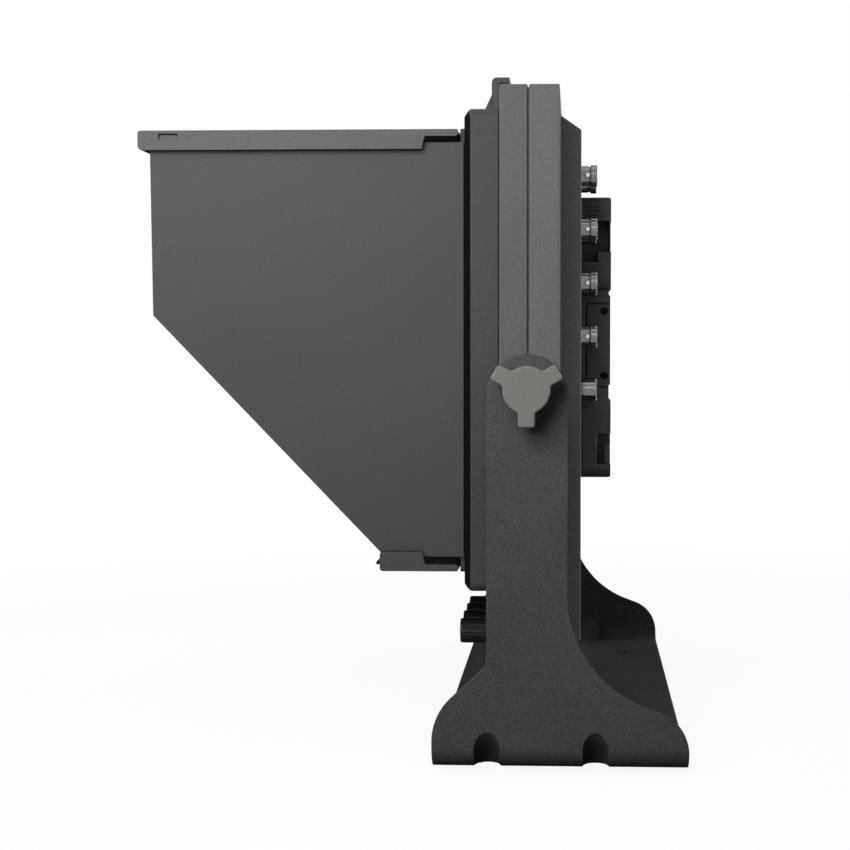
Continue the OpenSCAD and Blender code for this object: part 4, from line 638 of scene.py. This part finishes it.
# Cross-recess screws in millimetres: the middle of each head's face, and side 0 for heads that look to the
# rear, 1 for the right and -1 for the left; the battery plate's flank screws differ in place and side only
flankScrews = {"node": "v_mount_plate", "finish": "blackOxide", "stands": [], "radius": 1.6,
               "thick": 1.2, "dome": 0.2, "recess": 0.6, "shank": 0.9, "length": 2.4, "steps": 17}
screwSets = {
    "caseScrewHeads": {"node": "case_screws", "finish": "blackOxide", "stands": ["case_screws"], "radius": 2.6,
                       "thick": 1.5, "dome": 0.25, "recess": 0.9, "shank": 1.2, "length": 19.6, "steps": 23,
                       "face": [(x, -0.7, z) for x in (-150, -60, 60, 150) for z in (36.9, 272.3)], "side": 0},
    "plateScrewHeads": {"node": "v_mount_screws", "finish": "zincPlate", "stands": ["v_mount_screws"],
                        "radius": 2.6, "thick": 1.6, "dome": 0.25, "recess": 0.9, "shank": 1.2, "length": 13.5,
                        "steps": 23, "face": [(x, 18.4, z) for x in (-38.5, 38.5) for z in (153.534, 201.56)],
                        "side": 0},
    "socketScrewHeads": {"node": "dc_in_socket", "finish": "blackOxide", "stands": [], "radius": 2.0,
                         "thick": 1.1, "dome": 0.3, "recess": 0.7, "shank": 1.15, "length": 2.2, "steps": 19,
                         "face": [(-72 + x, 6.25, 79.2 + z) for x in (-8.98, 8.98) for z in (-8.98, 8.98)],
                         "side": 0},
    "flankScrewHeadsRight": {**flankScrews, "face": [(46.5, 19.0, z) for z in (158.077, 188.191)], "side": 1},
    "flankScrewHeadsLeft": {**flankScrews, "face": [(-46.5, 19.0, z) for z in (158.077, 188.191)], "side": -1},
}
for name, spec in screwSets.items():
    forms = crossScrew(spec)
    if spec["side"]:
        forms = [alongX(form, spec["side"]) for form in forms]
    addPiece(name, makeMesh(name, forms, spec["face"]), spec["node"], [spec["finish"]], spec["stands"])
print("screws made:", sum(len(spec["face"]) for spec in screwSets.values()))

# A floor whose glow rises to white with the distance, and a world that is white to the eye and in reflections
# but lights little. Reaches in metres, glow and light as strengths, where 1 is white
studio = {"floorHalf": 6.0, "floorColour": "#666666", "floorGlow": (0.92, 1.02), "glowReach": (0.45, 1.3),
          "worldColour": "#ffffff", "worldLight": 0.13}
# Soft lamps; the front one, near the camera, has a grid, so its light fades towards the floor. Places and
# sizes in metres, power in watts, spread in degrees
lamps = {
    "frontSoftbox": {"place": (0.62, -0.24, 0.44), "aim": (0.1, -0.1, 0.3), "size": 0.5, "power": 1.14,
                     "spread": 100},
    "topSoftbox": {"place": (0.3, -0.3, 2.2), "aim": (0.1, -0.05, 0.18), "size": 1.4, "power": 3.2,
                   "spread": 180},
    "screenSoftbox": {"place": (-0.6, -2.2, 1.0), "aim": (0.1, -0.05, 0.18), "size": 1.4, "power": 9.0,
                      "spread": 180},
    "rearSoftbox": {"place": (-1.2, 1.9, 0.7), "aim": (0.1, -0.05, 0.18), "size": 1.4, "power": 13.0,
                    "spread": 180},
}


def raysThatSeeWhite(tree):
    # 1 for camera, glossy and transmission rays, 0 for the rays that light the object
    rays = addNode(tree, "ShaderNodeLightPath")
    seen = addNode(tree, "ShaderNodeMath", {"operation": "MAXIMUM"},
                   {0: rays.outputs["Is Camera Ray"], 1: rays.outputs["Is Glossy Ray"]})
    return addNode(tree, "ShaderNodeMath", {"operation": "MAXIMUM"},
                   {0: seen.outputs[0], 1: rays.outputs["Is Transmission Ray"]}).outputs[0]


def makeFloor(settings):
    half, z = settings["floorHalf"], cadLow.z
    mesh = bpy.data.meshes.new("studioFloor")
    mesh.from_pydata([(-half, -half, z), (half, -half, z), (half, half, z), (-half, half, z)], [], [(0, 1, 2, 3)])
    floor = newObject("studioFloor", mesh)
    material, tree = emptyMaterial("paperSweep")
    paper = addNode(tree, "ShaderNodeBsdfDiffuse", {"Color": toLinear(settings["floorColour"])})
    place = addNode(tree, "ShaderNodeTexCoord").outputs["Object"]
    away = addNode(tree, "ShaderNodeVectorMath", {"operation": "LENGTH"}, {0: place}).outputs["Value"]
    (near, far), (dim, bright) = settings["glowReach"], settings["floorGlow"]
    rise = addNode(tree, "ShaderNodeMapRange", {"From Min": near, "From Max": far, "To Min": dim, "To Max": bright},
                   {"Value": away})
    glow = addNode(tree, "ShaderNodeEmission", links={"Strength": rise.outputs["Result"]})
    both = addNode(tree, "ShaderNodeAddShader", links={0: paper.outputs[0], 1: glow.outputs[0]})
    mixed = addNode(tree, "ShaderNodeMixShader", links={"Fac": raysThatSeeWhite(tree), 1: paper.outputs[0],
                                                        2: both.outputs[0]})
    addNode(tree, "ShaderNodeOutputMaterial", links={"Surface": mixed.outputs[0]})
    mesh.materials.append(material)


def makeWorld(settings):
    world = bpy.data.worlds.new("studioWorld")
    world.use_nodes = True
    tree = world.node_tree
    tree.nodes.clear()
    strength = addNode(tree, "ShaderNodeMapRange", {"To Min": settings["worldLight"], "To Max": 1.0},
                       {"Value": raysThatSeeWhite(tree)})
    backdrop = addNode(tree, "ShaderNodeBackground", {"Color": toLinear(settings["worldColour"])},
                       {"Strength": strength.outputs["Result"]})
    addNode(tree, "ShaderNodeOutputWorld", links={"Surface": backdrop.outputs[0]})
    bpy.context.scene.world = world


def makeLamp(name, settings):
    data = bpy.data.lights.new(name, "AREA")
    data.shape = "DISK"
    data.size = settings["size"]
    data.energy = settings["power"]
    data.spread = math.radians(settings["spread"])
    lamp = newObject(name, data)
    lamp.location = settings["place"]
    lookAlong(lamp, Vector(settings["aim"]) - Vector(settings["place"]))
    lamp.visible_camera = False


makeFloor(studio)
makeWorld(studio)
for name, settings in lamps.items():
    makeLamp(name, settings)
bpy.context.scene.view_settings.view_transform = "Standard"
print("studio ready")
